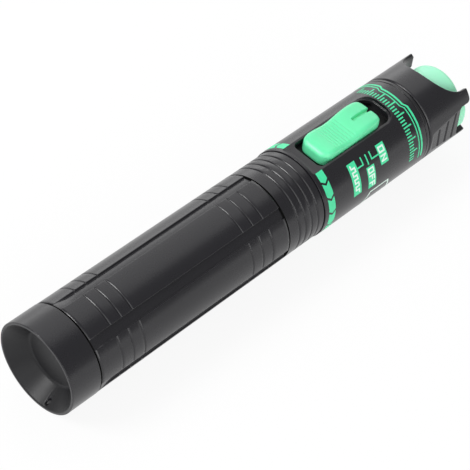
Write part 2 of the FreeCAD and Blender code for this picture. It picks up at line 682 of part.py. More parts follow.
def contact_tail(play=0.0):
    """The leg of the front contact that passes through the bulkhead to the board."""
    return block(STACK_END, BOARD_START + BOARD_EDGE_GAP + 1.0, -STRIP_WIDTH / 2 - play, STRIP_WIDTH / 2 + play,
                 BOARD_BOTTOM - CONTACT_THICK - play, BOARD_BOTTOM + play * 0.5)


def front_contact():
    disc = tube(STACK_END, BULKHEAD_START, CELL_RADIUS - SLIP)
    return one(disc.fuse(contact_tail()))


def strip_place():
    """The outer face and lower edge of the ground strip, which lies in the spigot's bore midway
    between two of its ribs."""
    return math.sqrt((SPIGOT_BORE - SLIP) ** 2 - (STRIP_WIDTH / 2) ** 2), -STRIP_WIDTH / 2


def ground_strip():
    """A flat strip from the contact ring, along the housing's side, to the board."""
    y, low = strip_place()
    board_side = BOARD_START + STRIP_WIDTH
    leg = block(SPIGOT_START, board_side, y - CONTACT_THICK, y, low, low + STRIP_WIDTH)
    riser = block(BOARD_START, board_side, y - CONTACT_THICK, y, low, BOARD_BOTTOM)
    foot = block(BOARD_START, board_side, y - STRIP_WIDTH, y, BOARD_BOTTOM - CONTACT_THICK, BOARD_BOTTOM)
    return one(leg.fuse([riser, foot]))


def circuit_board():
    board = block(BOARD_START, BOARD_END, -BOARD_HALF_WIDTH, BOARD_HALF_WIDTH, BOARD_BOTTOM, BOARD_TOP)
    holes = [Part.makeCylinder(BOARD_SCREW_RADIUS + SLIP, BOARD_THICK + 2 * EPS, V(x, y, BOARD_BOTTOM - EPS))
             for x, y in screw_places()]
    return one(board.cut(holes))


def board_screws():
    screws = []
    for x, y in screw_places():
        head = Part.makeCylinder(BOARD_SCREW_HEAD_RADIUS, BOARD_SCREW_HEAD_HEIGHT, V(x, y, BOARD_TOP))
        shank = Part.makeCylinder(BOARD_SCREW_RADIUS, BOARD_SCREW_LENGTH, V(x, y, BOARD_TOP), V(0, 0, -1))
        screws.append(one(head.fuse(shank)))
    return Part.makeCompound(screws)


def component_y(size, row=0):
    """The middle of a component in a row beside the switch case."""
    return CASE_WIDTH / 2 + COMPONENT_GAP + row * COMPONENT_ROW_PITCH + size[1] / 2


def driver_chip():
    return bar(CASE_X, -component_y(CHIP_SIZE), BOARD_TOP, CHIP_SIZE)


def power_trimmer():
    trimmer = bar(CASE_X + CHIP_SIZE[0] / 2 + 2.4, -component_y(TRIMMER_SIZE), BOARD_TOP, TRIMMER_SIZE)
    rotor = Part.makeCylinder(TRIMMER_SIZE[0] * 0.4, 0.3, trimmer.BoundBox.Center + V(0, 0, TRIMMER_SIZE[2] / 2))
    return one(trimmer.fuse(rotor))


def component_row(size, count, row):
    """A row of like components along the board, on the +Y side of the switch case."""
    pitch = CASE_LENGTH / count
    first = CASE_X - (count - 1) * pitch / 2
    return Part.makeCompound([bar(first + k * pitch, component_y(size, row), BOARD_TOP, size)
                              for k in range(count)])


# ---- laser ---------------------------------------------------------------------------
def laser_barrel():
    """A turned barrel: the diode sits in its rear pocket and the lens in its front one."""
    seat = BARREL_START + DIODE_SEAT_DEPTH
    shoulder = BARREL_END - LENS_INSET - LENS_THICK
    return turned([
        (BARREL_START, DIODE_FLANGE_RADIUS + SLIP),
        (BARREL_START, BARREL_RADIUS),
        (BARREL_END, BARREL_RADIUS),
        (BARREL_END, LENS_RADIUS + SLIP),
        (shoulder, LENS_RADIUS + SLIP),
        (shoulder, BEAM_RADIUS),
        (seat, BEAM_RADIUS),
        (seat, DIODE_FLANGE_RADIUS + SLIP),
    ])


def laser_diode():
    """A sealed can on a wider flange, against the shoulder of the barrel's rear pocket."""
    seat = BARREL_START + DIODE_SEAT_DEPTH
    flange = tube(seat - DIODE_FLANGE_THICK, seat, DIODE_FLANGE_RADIUS)
    return one(flange.fuse(tube(seat, seat + DIODE_CAN_LENGTH, DIODE_CAN_RADIUS)))


def laser_leads():
    """Two wires that leave the diode backwards and turn up to the board."""
    start = BARREL_START + DIODE_SEAT_DEPTH - DIODE_FLANGE_THICK
    rise_x = BOARD_END - BOARD_EDGE_GAP - LEAD_RADIUS
    leads = []
    for side in (-0.5, 0.5):
        corner = V(rise_x, side * LEAD_SPACING, 0)
        straight = Part.makeCylinder(LEAD_RADIUS, start - rise_x, corner, AXIS)
        riser = Part.makeCylinder(LEAD_RADIUS, BOARD_BOTTOM, corner)
        leads.append(one(straight.fuse([riser, Part.makeSphere(LEAD_RADIUS, corner)])))
    return Part.makeCompound(leads)


def collimating_lens():
    """A plano-convex lens, its crown towards the port."""
    front = BARREL_END - LENS_INSET
    sphere_radius = (LENS_RADIUS ** 2 + LENS_CROWN ** 2) / (2 * LENS_CROWN)
    sphere = Part.makeSphere(sphere_radius, V(front - sphere_radius, 0, 0))
    return one(tube(front - LENS_THICK, front + EPS, LENS_RADIUS).common(sphere))


def lens_ring():
    """The ring that holds the lens back against its shoulder."""
    start = BARREL_END - LENS_INSET
    return tube(start, start + LENS_RING_LENGTH, LENS_RADIUS, LENS_RADIUS - LENS_RING_WALL)


# ---- output port ---------------------------------------------------------------------
def output_port():
    """A flanged metal port: a beam hole behind, and a seat for the ferrule sleeve in front."""
    sleeve_bore = FERRULE_SLEEVE_RADIUS + SLIP / 2
    return turned([
        (NUT_START, PORT_BEAM_RADIUS),
        (NUT_START, PORT_RADIUS),
        (WEB_END, PORT_RADIUS),
        (WEB_END, PORT_FLANGE_RADIUS),
        (WEB_END + PORT_FLANGE_THICK, PORT_FLANGE_RADIUS),
        (WEB_END + PORT_FLANGE_THICK, PORT_RADIUS),
        (PORT_FRONT - PORT_LIP, PORT_RADIUS),
        (PORT_FRONT, PORT_RADIUS - PORT_LIP),
        (PORT_FRONT, PORT_LIP_RADIUS),
        (PORT_FRONT - PORT_LIP, PORT_LIP_RADIUS),
        (PORT_FRONT - PORT_LIP, sleeve_bore),
        (FERRULE_SLEEVE_START - SLIP, sleeve_bore),
        (FERRULE_SLEEVE_START - SLIP, PORT_BEAM_RADIUS),
    ])


def port_nut():
    """A hexagon nut that clamps the port's flange to the head's web."""
    corner = V(NUT_START, 0, PORT_NUT_FLATS / 2 / math.cos(math.pi / NUT_SIDES))
    turns = [FreeCAD.Rotation(AXIS, 360.0 * k / NUT_SIDES) for k in range(NUT_SIDES + 1)]
    corners = [turn_by.multVec(corner) for turn_by in turns]
    hexagon = Part.Face(Part.makePolygon(corners)).extrude(V(PORT_NUT_THICK, 0, 0))
    return one(hexagon.cut(tube(NUT_START - EPS, WEB_START + EPS, PORT_RADIUS + SLIP / 2)))


def ferrule_sleeve():
    """A slit ceramic tube that centres the fibre's ferrule."""
    sleeve = tube(FERRULE_SLEEVE_START, FERRULE_SLEEVE_END, FERRULE_SLEEVE_RADIUS, FERRULE_RADIUS)
    slit = block(FERRULE_SLEEVE_START - EPS, FERRULE_SLEEVE_END + EPS, -FERRULE_SLIT / 2, FERRULE_SLIT / 2,
                 -FERRULE_SLEEVE_RADIUS - EPS, 0)
    return one(sleeve.cut(slit))


# ---- head crown and collar -----------------------------------------------------------
def head_collar():
    """The plain ring in the seam between the housing and the crown."""
    return one(flat_underside(tube(COLLAR_START, COLLAR_END, HOUSING_RADIUS, HOUSING_BORE)))


def crown_blank():
    """The crown before its scallops, with rounded prong tips."""
    round_x = CROWN_END - PRONG_ROUND
    outer_tip = rounded_corner((round_x, HOUSING_RADIUS - PRONG_ROUND), PRONG_ROUND, 90, 0)
    inner_tip = rounded_corner((round_x, CROWN_BORE + PRONG_ROUND), PRONG_ROUND, 360, 270)
    return turned([
        (BOSS_START, BARREL_BORE),
        (BOSS_START, HOUSING_BORE - SLIP),
        (CROWN_START, HOUSING_BORE - SLIP),
        (CROWN_START, HOUSING_RADIUS - CROWN_SHOULDER_ROUND),
        (CROWN_START + CROWN_SHOULDER_ROUND, HOUSING_RADIUS),
    ] + outer_tip + inner_tip + [
        (WEB_END, CROWN_BORE),
        (WEB_END, PORT_RADIUS + SLIP),
        (WEB_START, PORT_RADIUS + SLIP),
        (WEB_START, BARREL_BORE),
    ])


def top_scallop():
    """A round bite that is open upwards and forwards."""
    centre = CROWN_END - TOP_SCALLOP_DEPTH + TOP_SCALLOP_RADIUS
    bite = Part.makeCylinder(TOP_SCALLOP_RADIUS, REACH, V(centre, 0, 0))
    return bite


def side_scallop():
    """The notch in the -Y side between two prongs, with rounded inner corners."""
    start = CROWN_END - SIDE_SCALLOP_DEPTH
    wedge = turned([
        (start, 0), (start, HOUSING_RADIUS + 2), (CROWN_END + 2, HOUSING_RADIUS + 2), (CROWN_END + 2, 0),
    ], SIDE_SCALLOP_DOWN - SIDE_SCALLOP_UP)
    corners = [e for e in wedge.Edges if abs(e.BoundBox.XMin - start) < EPS and e.BoundBox.XLength < EPS
               and e.Curve.TypeId == "Part::GeomLine"]
    return turn(wedge.makeFillet(SIDE_SCALLOP_ROUND, corners), SIDE_SCALLOP_UP)


def facet_cutters():
    """The sloping flat on the -Y side and its slanted finger grooves."""
    start = CROWN_START + FACET_START
    height = HOUSING_RADIUS - FACET_DEPTH
    pivot = V(start, -height, 0)
    cutters = [block(start, start + REACH, -height - REACH, -height, -REACH, REACH)]
    for k in range(FACET_GROOVES):
        middle = CROWN_START + FACET_GROOVE_START + k * FACET_GROOVE_PITCH
        groove = block(middle - FACET_GROOVE_WIDTH / 2, middle + FACET_GROOVE_WIDTH / 2,
                       -height - REACH, -height + FACET_GROOVE_DEPTH, -REACH, REACH)
        cutters.append(groove.rotated(V(middle, 0, 0), V(0, 1, 0), FACET_GROOVE_LEAN))
    return [cutter.rotated(pivot, V(0, 0, 1), FACET_SLOPE) for cutter in cutters]


def head_crown():
    """The crown round the output port: a scallop above and below, and one on each side."""
    bites = [top_scallop(), turn(top_scallop(), 180)] + both_sides(side_scallop())
    facets = [mirrored for cutter in facet_cutters() for mirrored in both_sides(cutter)]
    return one(flat_underside(crown_blank().cut(bites + facets)))


# ---- dust cap ------------------------------------------------------------------------
def cap_outside():
    """A round post with a low spherical dome and a rounded edge."""
    crown_centre = (PEN_LENGTH - CAP_CROWN_RADIUS, 0)
    tilt = math.degrees(math.asin((CAP_RADIUS - CAP_EDGE_ROUND) / (CAP_CROWN_RADIUS - CAP_EDGE_ROUND)))
    edge = rounded_corner(polar(crown_centre, CAP_CROWN_RADIUS - CAP_EDGE_ROUND, tilt), CAP_EDGE_ROUND, 90, tilt)
    corners = [(CAP_START, 0), (CAP_START, CAP_RADIUS)] + edge
    runs = Part.makePolygon([V(x, 0, z) for x, z in corners]).Edges
    middle = polar(crown_centre, CAP_CROWN_RADIUS, tilt / 2)
    dome = Part.Arc(V(edge[-1][0], 0, edge[-1][1]), V(middle[0], 0, middle[1]), V(PEN_LENGTH, 0, 0))
    axis = Part.LineSegment(V(PEN_LENGTH, 0, 0), V(CAP_START, 0, 0))
    return Part.Face(Part.Wire(runs + [dome.toShape(), axis.toShape()])).revolve(V(0, 0, 0), AXIS, 360)


def cap_inside():
    """The hollow of the cap: a straight bore with a conical end."""
    bore = CAP_RADIUS - CAP_WALL
    return turned([
        (CAP_START - EPS, 0),
        (CAP_START - EPS, bore),
        (CAP_SHOULDER - CAP_WALL / 2, bore),
        (PEN_LENGTH - CAP_DOME / 2 - CAP_WALL, bore / 2),
        (PEN_LENGTH - CAP_DOME / 2 - CAP_WALL, 0),
    ])


def cap_ear():
    """A lug on the cap that fills the -Y scallop, so that fingers can pull the cap off."""
    start = CROWN_END - SIDE_SCALLOP_DEPTH + EAR_SEAT_GAP
    low, high = CAP_RADIUS - CAP_WALL / 2, EAR_REACH
    sweep = SIDE_SCALLOP_DOWN - SIDE_SCALLOP_UP - 2 * EAR_SIDE_GAP
    lug = turned([(start, low), (start, high), (start + EAR_THICK, high), (start + EAR_THICK, low)], sweep)
    return turn(lug, SIDE_SCALLOP_UP + EAR_SIDE_GAP)


def dust_cap():
    """A domed cap with a socket that fits over the port, and an ear in each side scallop."""
    bore = PORT_RADIUS + CAP_SOCKET_PLAY
    socket = tube(WEB_END + PORT_FLANGE_THICK + CAP_SEAT_GAP, CAP_SHOULDER + CAP_WALL,
                  bore + CAP_SOCKET_WALL, bore)
    return one(cap_outside().cut(cap_inside()).fuse([socket] + both_sides(cap_ear())))


NODES = {
    "grip_sleeve": grip_sleeve,
    "tail_contact": tail_contact,
    "tail_spring": tail_spring,
    "return_strip": return_strip,
    "rear_cell": lambda: cell(REAR_CELL_START),
    "front_cell": lambda: cell(FRONT_CELL_START),
    "front_housing": front_housing,
    "contact_ring": contact_ring,
    "ground_strip": ground_strip,
    "bulkhead": bulkhead,
    "front_contact": front_contact,
    "circuit_board": circuit_board,
    "board_screws": board_screws,
    "driver_chip": driver_chip,
    "power_trimmer": power_trimmer,
    "chip_capacitors": lambda: component_row(CAPACITOR_SIZE, 3, 0),
    "chip_resistors": lambda: component_row(RESISTOR_SIZE, 4, 1),
    "switch_case": switch_case,
    "switch_lever": switch_lever,
    "switch_guide": switch_guide,
    "switch_knob": switch_knob,
    "laser_barrel": laser_barrel,
    "laser_diode": laser_diode,
    "laser_leads": laser_leads,
    "collimating_lens": collimating_lens,
    "lens_ring": lens_ring,
    "output_port": output_port,
    "port_nut": port_nut,
    "ferrule_sleeve": ferrule_sleeve,
    "head_collar": head_collar,
    "head_crown": head_crown,
    "dust_cap": dust_cap,
}


def placed(solid):
    """The solid moved from the pen's own axis to where the pen lies."""
    return solid.translated(V(-PEN_LENGTH / 2, 0, REST_HEIGHT))


os.makedirs("parts", exist_ok=True)
for name, make in NODES.items():
    placed(make()).exportStep("parts/" + name + ".step")
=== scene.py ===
import math

import bmesh
import bpy
import numpy as np
from mathutils import Matrix, Vector


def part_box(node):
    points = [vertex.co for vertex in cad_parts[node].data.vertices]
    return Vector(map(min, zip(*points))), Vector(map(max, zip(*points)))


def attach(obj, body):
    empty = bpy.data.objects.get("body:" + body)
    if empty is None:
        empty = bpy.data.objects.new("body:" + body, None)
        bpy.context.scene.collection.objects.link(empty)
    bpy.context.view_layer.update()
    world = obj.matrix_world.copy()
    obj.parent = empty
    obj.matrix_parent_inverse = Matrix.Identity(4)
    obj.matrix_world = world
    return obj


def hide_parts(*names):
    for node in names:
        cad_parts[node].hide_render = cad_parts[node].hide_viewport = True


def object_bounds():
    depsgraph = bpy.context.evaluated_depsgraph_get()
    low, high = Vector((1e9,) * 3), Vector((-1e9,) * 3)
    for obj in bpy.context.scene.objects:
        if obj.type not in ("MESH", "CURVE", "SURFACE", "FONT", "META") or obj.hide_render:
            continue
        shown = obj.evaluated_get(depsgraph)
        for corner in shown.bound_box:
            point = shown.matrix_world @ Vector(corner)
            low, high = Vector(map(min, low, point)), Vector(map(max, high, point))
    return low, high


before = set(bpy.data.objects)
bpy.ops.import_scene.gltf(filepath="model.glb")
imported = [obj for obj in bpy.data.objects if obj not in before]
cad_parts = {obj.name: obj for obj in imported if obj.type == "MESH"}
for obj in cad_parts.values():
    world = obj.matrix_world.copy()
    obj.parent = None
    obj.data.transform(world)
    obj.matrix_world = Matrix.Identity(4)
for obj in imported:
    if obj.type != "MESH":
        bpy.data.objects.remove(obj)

cad_low, cad_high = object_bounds()

# Lengths are millimetres until finished() puts them into a mesh. x runs along the pen
# from its tail rim, and angles are in degrees about the pen's axis, from the top round
# towards -Y.
MM = 0.001
TAIL_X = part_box("grip_sleeve")[0].x / MM
AXIS_Z = (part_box("front_cell")[0].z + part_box("front_cell")[1].z) / 2 / MM
REST = AXIS_Z - cad_low.z / MM


def span(node):
    """A CAD node's first and last place along the pen, from the tail rim."""
    low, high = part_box(node)
    return low.x / MM - TAIL_X, high.x / MM - TAIL_X


SLEEVE_END = span("grip_sleeve")[1]
SPIGOT_START, HOUSING_END = span("front_housing")
HOUSING_START = SLEEVE_END + 0.15
COLLAR_START, COLLAR_END = span("head_collar")
BOSS_START, CROWN_END = span("head_crown")
CROWN_START = COLLAR_END + 0.55
KNOB_REAR, KNOB_FRONT = span("switch_knob")
CAP_START, CAP_END = span("dust_cap")
RADIUS = 15.0                     # of the housing, the collar and the crown
DECK = 13.48                      # height of the switch deck over the axis
DEGREE = RADIUS * math.pi / 180   # length of one degree on the round side


# ---- shapes from arrays ----------------------------------
def polar(x, radius, angle):
    """Points about the pen's axis: y = -radius sin(angle) and z = radius cos(angle)."""
    x, radius, turn = np.broadcast_arrays(x, radius, np.radians(angle))
    return np.stack([x, -radius * np.sin(turn), radius * np.cos(turn)], -1)


def about_axis(points, degrees):
    """Points turned about the pen's axis, from +Y towards +Z."""
    c, d = math.cos(math.radians(degrees)), math.sin(math.radians(degrees))
    x, y, z = points[..., 0], points[..., 1], points[..., 2]
    return np.stack([x, c * y - d * z, d * y + c * z], -1)


def smooth(t):
    """0 below 0, 1 above 1, and 3t^2 - 2t^3 between."""
    t = np.clip(t, 0, 1)
    return t * t * (3 - 2 * t)


def strip(value, middle, width, edge):
    """1 inside a strip of a width, falling smoothly to 0 across its two edges."""
    return smooth((width / 2 + edge / 2 - np.abs(value - middle)) / edge)


def eased(gap, size):
    """How far a rounded edge falls, a gap in from its side: r - sqrt(r^2 - (r - gap)^2)."""
    over = np.clip(size - gap, 0, size)
    return size - np.sqrt(size ** 2 - over ** 2)


def squared(wave, power):
    """A sine or cosine with its sign kept and its size raised to a power, which turns a circle
    into a rounded square."""
    return np.sign(wave) * np.abs(wave) ** power


def stations(low, high, step, *features):
    """Places from low to high at about a step, and closer about each (middle, width, edge)."""
    places = [np.linspace(low, high, int(round((high - low) / step)) + 1)]
    for middle, width, edge in features:
        near = np.array([-0.5, -0.25, 0.0, 0.25, 0.5]) * edge
        places += [middle - width / 2 + near, middle + width / 2 + near, [middle]]
    places = np.unique(np.round(np.concatenate(places), 4))
    return places[(places >= low) & (places <= high)]


def rounded(points, radius, steps=5):
    """The outline with each corner replaced by the curve (1-t)^2 a + 2t(1-t) corner + t^2 b,
    where a and b lie on the two runs, as far from the corner as an arc of the radius would."""
    points = np.asarray(points, float)
    radii = np.broadcast_to(radius, len(points))
    t = np.linspace(0, 1, steps + 1)[:, None]
    out = [points[:1]]
    for before, corner, after, size in zip(points, points[1:], points[2:], radii[1:]):
        u, v = before - corner, after - corner
        long_u, long_v = np.linalg.norm(u), np.linalg.norm(v)
        half = math.acos(np.clip(u @ v / long_u / long_v, -1, 1)) / 2
        if size <= 0 or half > 1.5:
            out.append(corner[None])
            continue
        run = min(size / math.tan(half), 0.48 * long_u, 0.48 * long_v)
        a, b = corner + u * run / long_u, corner + v * run / long_v
        out.append((1 - t) ** 2 * a + 2 * t * (1 - t) * corner + t ** 2 * b)
    return np.concatenate(out + [points[-1:]])


def along(points, step):
    """The outline measured off again at equal distances of about a step."""
    reach = np.concatenate([[0], np.cumsum(np.linalg.norm(np.diff(points, axis=0), axis=1))])
    even = np.linspace(0, reach[-1], int(reach[-1] / step) + 1)
    return np.stack([np.interp(even, reach, points[:, k]) for k in range(points.shape[1])], -1)


def mirrored(half):
    """Half an outline on the positive side, and back round the other side to its start."""
    return np.concatenate([half, half[-2:0:-1] * (1, -1)])


def round_angles(count):
    """Even angles right round the axis."""
    return np.linspace(-180, 180, count, endpoint=False)


def turned(profile, angles):
    """An outline of (x, radius) carried round the axis through the angles."""
    profile = np.asarray(profile, float)
    return polar(profile[:, :1], profile[:, 1:], angles[None])


def quads(rows, columns, ring):
    """Corner numbers of the faces between neighbouring rows and columns of a grid."""
    row = np.arange(rows - 1)[:, None] * columns
    column = np.arange(columns if ring else columns - 1)[None]
    beside = (column + 1) % columns
    around = [row + column, row + beside, row + columns + beside, row + columns + column]
    return np.stack(around, -1).reshape(-1, 4)


def rested(points):
    """Nothing reaches below the flat that the pen lies on: z is at least -REST."""
    points = points.copy()
    points[..., 2] = np.maximum(points[..., 2], -REST)
    return points


def finished(name, corners, faces, finish, body, replaced=(), flat=False):
    """A mesh in metres from arrays of corners and faces, with its doubles merged and its faces
    outwards, hung on its body."""
    mesh = bpy.data.meshes.new(name)
    places = (np.concatenate(corners) + (TAIL_X, 0, AXIS_Z)) * MM
    mesh.from_pydata(places.tolist(), [], np.concatenate(faces).tolist())
    work = bmesh.new()
    work.from_mesh(mesh)
    bmesh.ops.remove_doubles(work, verts=work.verts, dist=1e-6)
    bmesh.ops.dissolve_degenerate(work, edges=work.edges, dist=1e-7)
    bmesh.ops.recalc_face_normals(work, faces=work.faces)
    work.to_mesh(mesh)
    work.free()
    mesh.polygons.foreach_set("use_smooth", np.full(len(mesh.polygons), not flat))
    mesh.materials.append(finish.material)
    made = bpy.data.objects.new(name, mesh)
    bpy.context.collection.objects.link(made)
    if not flat:
        normals = made.modifiers.new("even_shading", "WEIGHTED_NORMAL")
        normals.weight = 80
    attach(made, body)
    if replaced:
        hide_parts(*replaced)
    return made


def piece(name, rings, finish, body, replaced=(), sheets=()):
    """One closed mesh from grids: a ring's columns go right round, and a sheet's don't."""
    corners, faces, used = [], [], 0
    for grid, ring in [(grid, False) for grid in sheets] + [(grid, True) for grid in rings]:
        faces.append(quads(*grid.shape[:2], ring) + used)
        corners.append(grid.reshape(-1, 3))
        used += len(corners[-1])
    return finished(name, corners, faces, finish, body, replaced)


# ---- finishes --------------------------------------------
class Value:
    """A shader socket that adds, subtracts and multiplies as a number does."""

    def __init__(self, net, socket):
        self.net, self.socket = net, socket

    def _math(self, operation, first, second):
        return self.net.node("ShaderNodeMath", {"operation": operation}, {0: first, 1: second})

    def __add__(self, other):
        return self._math("ADD", self, other)

    def __sub__(self, other):
        return self._math("SUBTRACT", self, other)

    def __rsub__(self, other):
        return self._math("SUBTRACT", other, self)

    def __mul__(self, other):
        return self._math("MULTIPLY", self, other)

    __radd__, __rmul__ = __add__, __mul__


class Finish:
    """A material with one Principled shader, and the one method that adds nodes to it."""

    def __init__(self, name, colour, roughness, **constants):
        self.material = bpy.data.materials.new(name)
        self.material.use_nodes = True
        self.tree = self.material.node_tree
        self.shader = self.tree.nodes["Principled BSDF"]
        self.set(**{"Base Color": (*colour, 1), "Roughness": roughness, **constants})

    def set(self, **values):
        """Gives the shader's sockets their values or links, by name."""
        for name, value in values.items():
            self.feed(self.shader.inputs[name], value)

    def feed(self, socket, value):
        """Links a Value to a socket, or sets the socket's own number."""
        if isinstance(value, Value):
            self.tree.links.new(value.socket, socket)
        else:
            socket.default_value = value

    def node(self, kind, settings=None, inputs=None, output=0):
        """A node of a kind with its settings and inputs, as the Value of one output."""
        made = self.tree.nodes.new(kind)
        for name, value in (settings or {}).items():
            setattr(made, name, value)
        for name, value in (inputs or {}).items():
            self.feed(made.inputs[name], value)
        return Value(self, made.outputs[output])

    def place(self):
        """Object coordinates, in metres."""
        return self.node("ShaderNodeTexCoord", output="Object")

    def noise(self, scale, detail=3.0):
        """Soft random variation with a number of waves in each metre."""
        sizes = {"Scale": scale, "Detail": detail, "Roughness": 0.55}
        return self.node("ShaderNodeTexNoise", inputs={"Vector": self.place(), **sizes})

    def ramp(self, value, low, high):
        """0 below low and 1 above high."""
        ends = {"Value": value, "From Min": low, "From Max": high}
        return self.node("ShaderNodeMapRange", {"clamp": True}, ends)

    def mix(self, factor, first, second):
        """The first colour where the factor is 0, and the second where it is 1."""
        pair = {"Factor": factor, 6: first, 7: second}
        return self.node("ShaderNodeMix", {"data_type": "RGBA"}, pair, output=2)

    def bump(self, height, strength, distance):
        """Tilts the shading by a height's slope."""
        relief = {"Height": height, "Strength": strength, "Distance": distance}
        self.set(Normal=self.node("ShaderNodeBump", inputs=relief))


def moulded(name, colour, roughness, grain=0.25, wear=0.06, **constants):
    """Moulded plastic: fine spark grain, slow changes of gloss from handling, and a little
    uneven colour. Roughness = 2 wear slow + 0.05 fine + roughness - wear - 0.025."""
    finish = Finish(name, colour, roughness, **constants)
    slow, fine = finish.noise(60.0), finish.noise(5200.0, 2.0)
    finish.set(Roughness=slow * (2 * wear) + fine * 0.05 + (roughness - wear - 0.025))
    deep = tuple(0.86 * c for c in colour) + (1,)
    blotches = finish.ramp(finish.noise(25.0), 0.35, 0.7)
    finish.set(**{"Base Color": finish.mix(blotches, deep, (*colour, 1))})
    finish.bump(fine, grain, 0.00006)
    return finish


def dusty(finish, amount, pale=(0.55, 0.55, 0.55, 1)):
    """Adds rare pale specks of dust: a small round spot about a Voronoi point, where that
    cell's random shade is above 1 - amount."""
    cells = {"Vector": finish.place(), "Scale": 260.0}
    spots = finish.node("ShaderNodeTexVoronoi", inputs=cells)
    chosen = finish.node("ShaderNodeTexVoronoi", inputs=cells, output=1)
    rare = finish.ramp(chosen, 1 - amount, 1 - 0.8 * amount)
    speck = (1 - finish.ramp(spots, 0.03, 0.07)) * rare
    base = Value(finish, finish.shader.inputs["Base Color"].links[0].from_socket)
    finish.set(**{"Base Color": finish.mix(speck, base, pale)})
    return finish


def metal(name, colour, roughness):
    """Turned or plated metal: fine streaks along the pen vary its gloss and its height."""
    finish = Finish(name, colour, roughness, Metallic=1.0)
    drawn_out = {"Vector": finish.place(), "Scale": (40.0, 900.0, 900.0)}
    stretched = finish.node("ShaderNodeMapping", inputs=drawn_out)
    fine = {"Vector": stretched, "Scale": 1.0, "Detail": 4.0}
    streaks = finish.node("ShaderNodeTexNoise", inputs=fine)
    finish.set(Roughness=streaks * 0.16 + (roughness - 0.08))
    tarnish = tuple(0.75 * c for c in colour) + (1,)
    tarnished = finish.ramp(finish.noise(90.0), 0.3, 0.75)
    finish.set(**{"Base Color": finish.mix(tarnished, tarnish, (*colour, 1))})
    finish.bump(streaks, 0.15, 0.00004)
    return finish


def shine(level):
    """The shader's own constant for how strongly a plastic reflects; 0.5 is plain plastic."""
    return {"Specular IOR Level": level}


def glowing(weight, depth, spread):
    """The shader's own constants for light that goes a little way into a pale plastic."""
    return {"Subsurface Weight": weight, "Subsurface Scale": depth, "Subsurface Radius": spread}


satin_black = dusty(moulded("satin_black", (0.011, 0.0105, 0.0135), 0.28), 0.05)
# Painted shade: the tail recess gets a darker black than the body, standing in for shade in the hollow; it is
# also rougher and reflects less.
recess_dull_painted_shade = moulded("recess_dull_painted_shade", (0.007, 0.007, 0.0085), 0.42, **shine(0.38))
# Painted shade: the parting grooves are painted near black with little gloss, standing in for shade in the
# grooves.
parting_painted_shade = moulded("parting_painted_shade", (0.002, 0.002, 0.002), 0.8, **shine(0.1))
band_black = moulded("band_black", (0.011, 0.011, 0.013), 0.26, grain=0.1)
inner_black = moulded("inner_black", (0.012, 0.012, 0.013), 0.5)
mint = moulded("mint_plastic", (0.145, 0.85, 0.43), 0.36, 0.12, 0.04, **glowing(0.12, 0.004, (0.4, 1.0, 0.6)))
cap_mint = moulded("mint_cap", (0.36, 0.93, 0.6), 0.5, 0.1, 0.04, **glowing(0.25, 0.006, (0.5, 1.0, 0.7)))
print_green = moulded("print_green", (0.063, 0.78, 0.38), 0.45, grain=0.15)
print_pale = moulded("print_pale", (0.8, 0.97, 0.88), 0.45, grain=0.15)
nickel = metal("nickel_plate", (0.72, 0.7, 0.66), 0.22)
wire_steel = metal("wire_steel", (0.6, 0.6, 0.6), 0.3)
bare_brass = metal("bare_brass", (0.8, 0.58, 0.24), 0.28)
gilt = metal("gilt_can", (0.95, 0.7, 0.3), 0.2)
cell_jacket = moulded("cell_jacket", (0.03, 0.035, 0.045), 0.3, grain=0.05)
board_green = moulded("board_green", (0.01, 0.13, 0.05), 0.35, grain=0.3)
chip_black = moulded("chip_black", (0.02, 0.02, 0.021), 0.5)
trimmer_white = moulded("trimmer_white", (0.75, 0.74, 0.7), 0.35)
ceramic_tan = moulded("ceramic_tan", (0.4, 0.24, 0.12), 0.4)
lead_red = moulded("lead_red", (0.55, 0.02, 0.015), 0.35)
zirconia = moulded("zirconia", (0.85, 0.85, 0.8), 0.2, grain=0.03, wear=0.03)
CLEAR = {"Transmission Weight": 0.9, "IOR": 1.5}
lens_glass = moulded("lens_glass", (0.9, 0.95, 0.95), 0.08, grain=0.0, wear=0.02, **CLEAR)

NODE_FINISHES = {
    "tail_contact": nickel, "return_strip": bare_brass, "rear_cell": cell_jacket, "front_cell": cell_jacket,
    "contact_ring": bare_brass, "ground_strip": bare_brass, "bulkhead": inner_black, "front_contact": nickel,
    "circuit_board": board_green, "board_screws": wire_steel, "driver_chip": chip_black,
    "power_trimmer": trimmer_white, "chip_capacitors": ceramic_tan, "chip_resistors": chip_black,
    "switch_case": wire_steel, "switch_lever": inner_black, "switch_guide": inner_black,
    "laser_barrel": bare_brass, "laser_diode": gilt, "laser_leads": lead_red, "collimating_lens": lens_glass,
    "lens_ring": wire_steel, "output_port": nickel, "port_nut": nickel, "ferrule_sleeve": zirconia,
}
for node, finish in NODE_FINISHES.items():
    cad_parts[node].data.materials.clear()
    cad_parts[node].data.materials.append(finish.material)

# ---- grip sleeve -----------------------------------------
TAIL_RING = 10.4
BAND_START = SLEEVE_END - 15.1
TAIL_RADIUS, PANEL_RADIUS, BAND_RADIUS = 14.85, 14.75, 14.7
STEP_RUN = 0.1                    # of the small steps at the tail ring and the band
PANEL_CENTRE, PANEL_PITCH = 11.0, 60.0
CHANNEL_WIDTH, CHANNEL_EDGE = 13.0, 0.9
CHANNEL_DEPTH, CHANNEL_RAMP, CHANNEL_STOP = 0.6, 6.0, 0.25
PARTINGS = [TAIL_RING + 0.25, BAND_START - 0.25]
PARTED_HALF = 0.31                # half the width of a parting's faces painted black as shade
CROSS = [TAIL_RING + 8.4 + 4.2 * k for k in range(3)] + [BAND_START - 7.3 - 4.2 * k for k in range(3)]
RINGS = [SLEEVE_END - 2.72 * k for k in range(1, 5)]
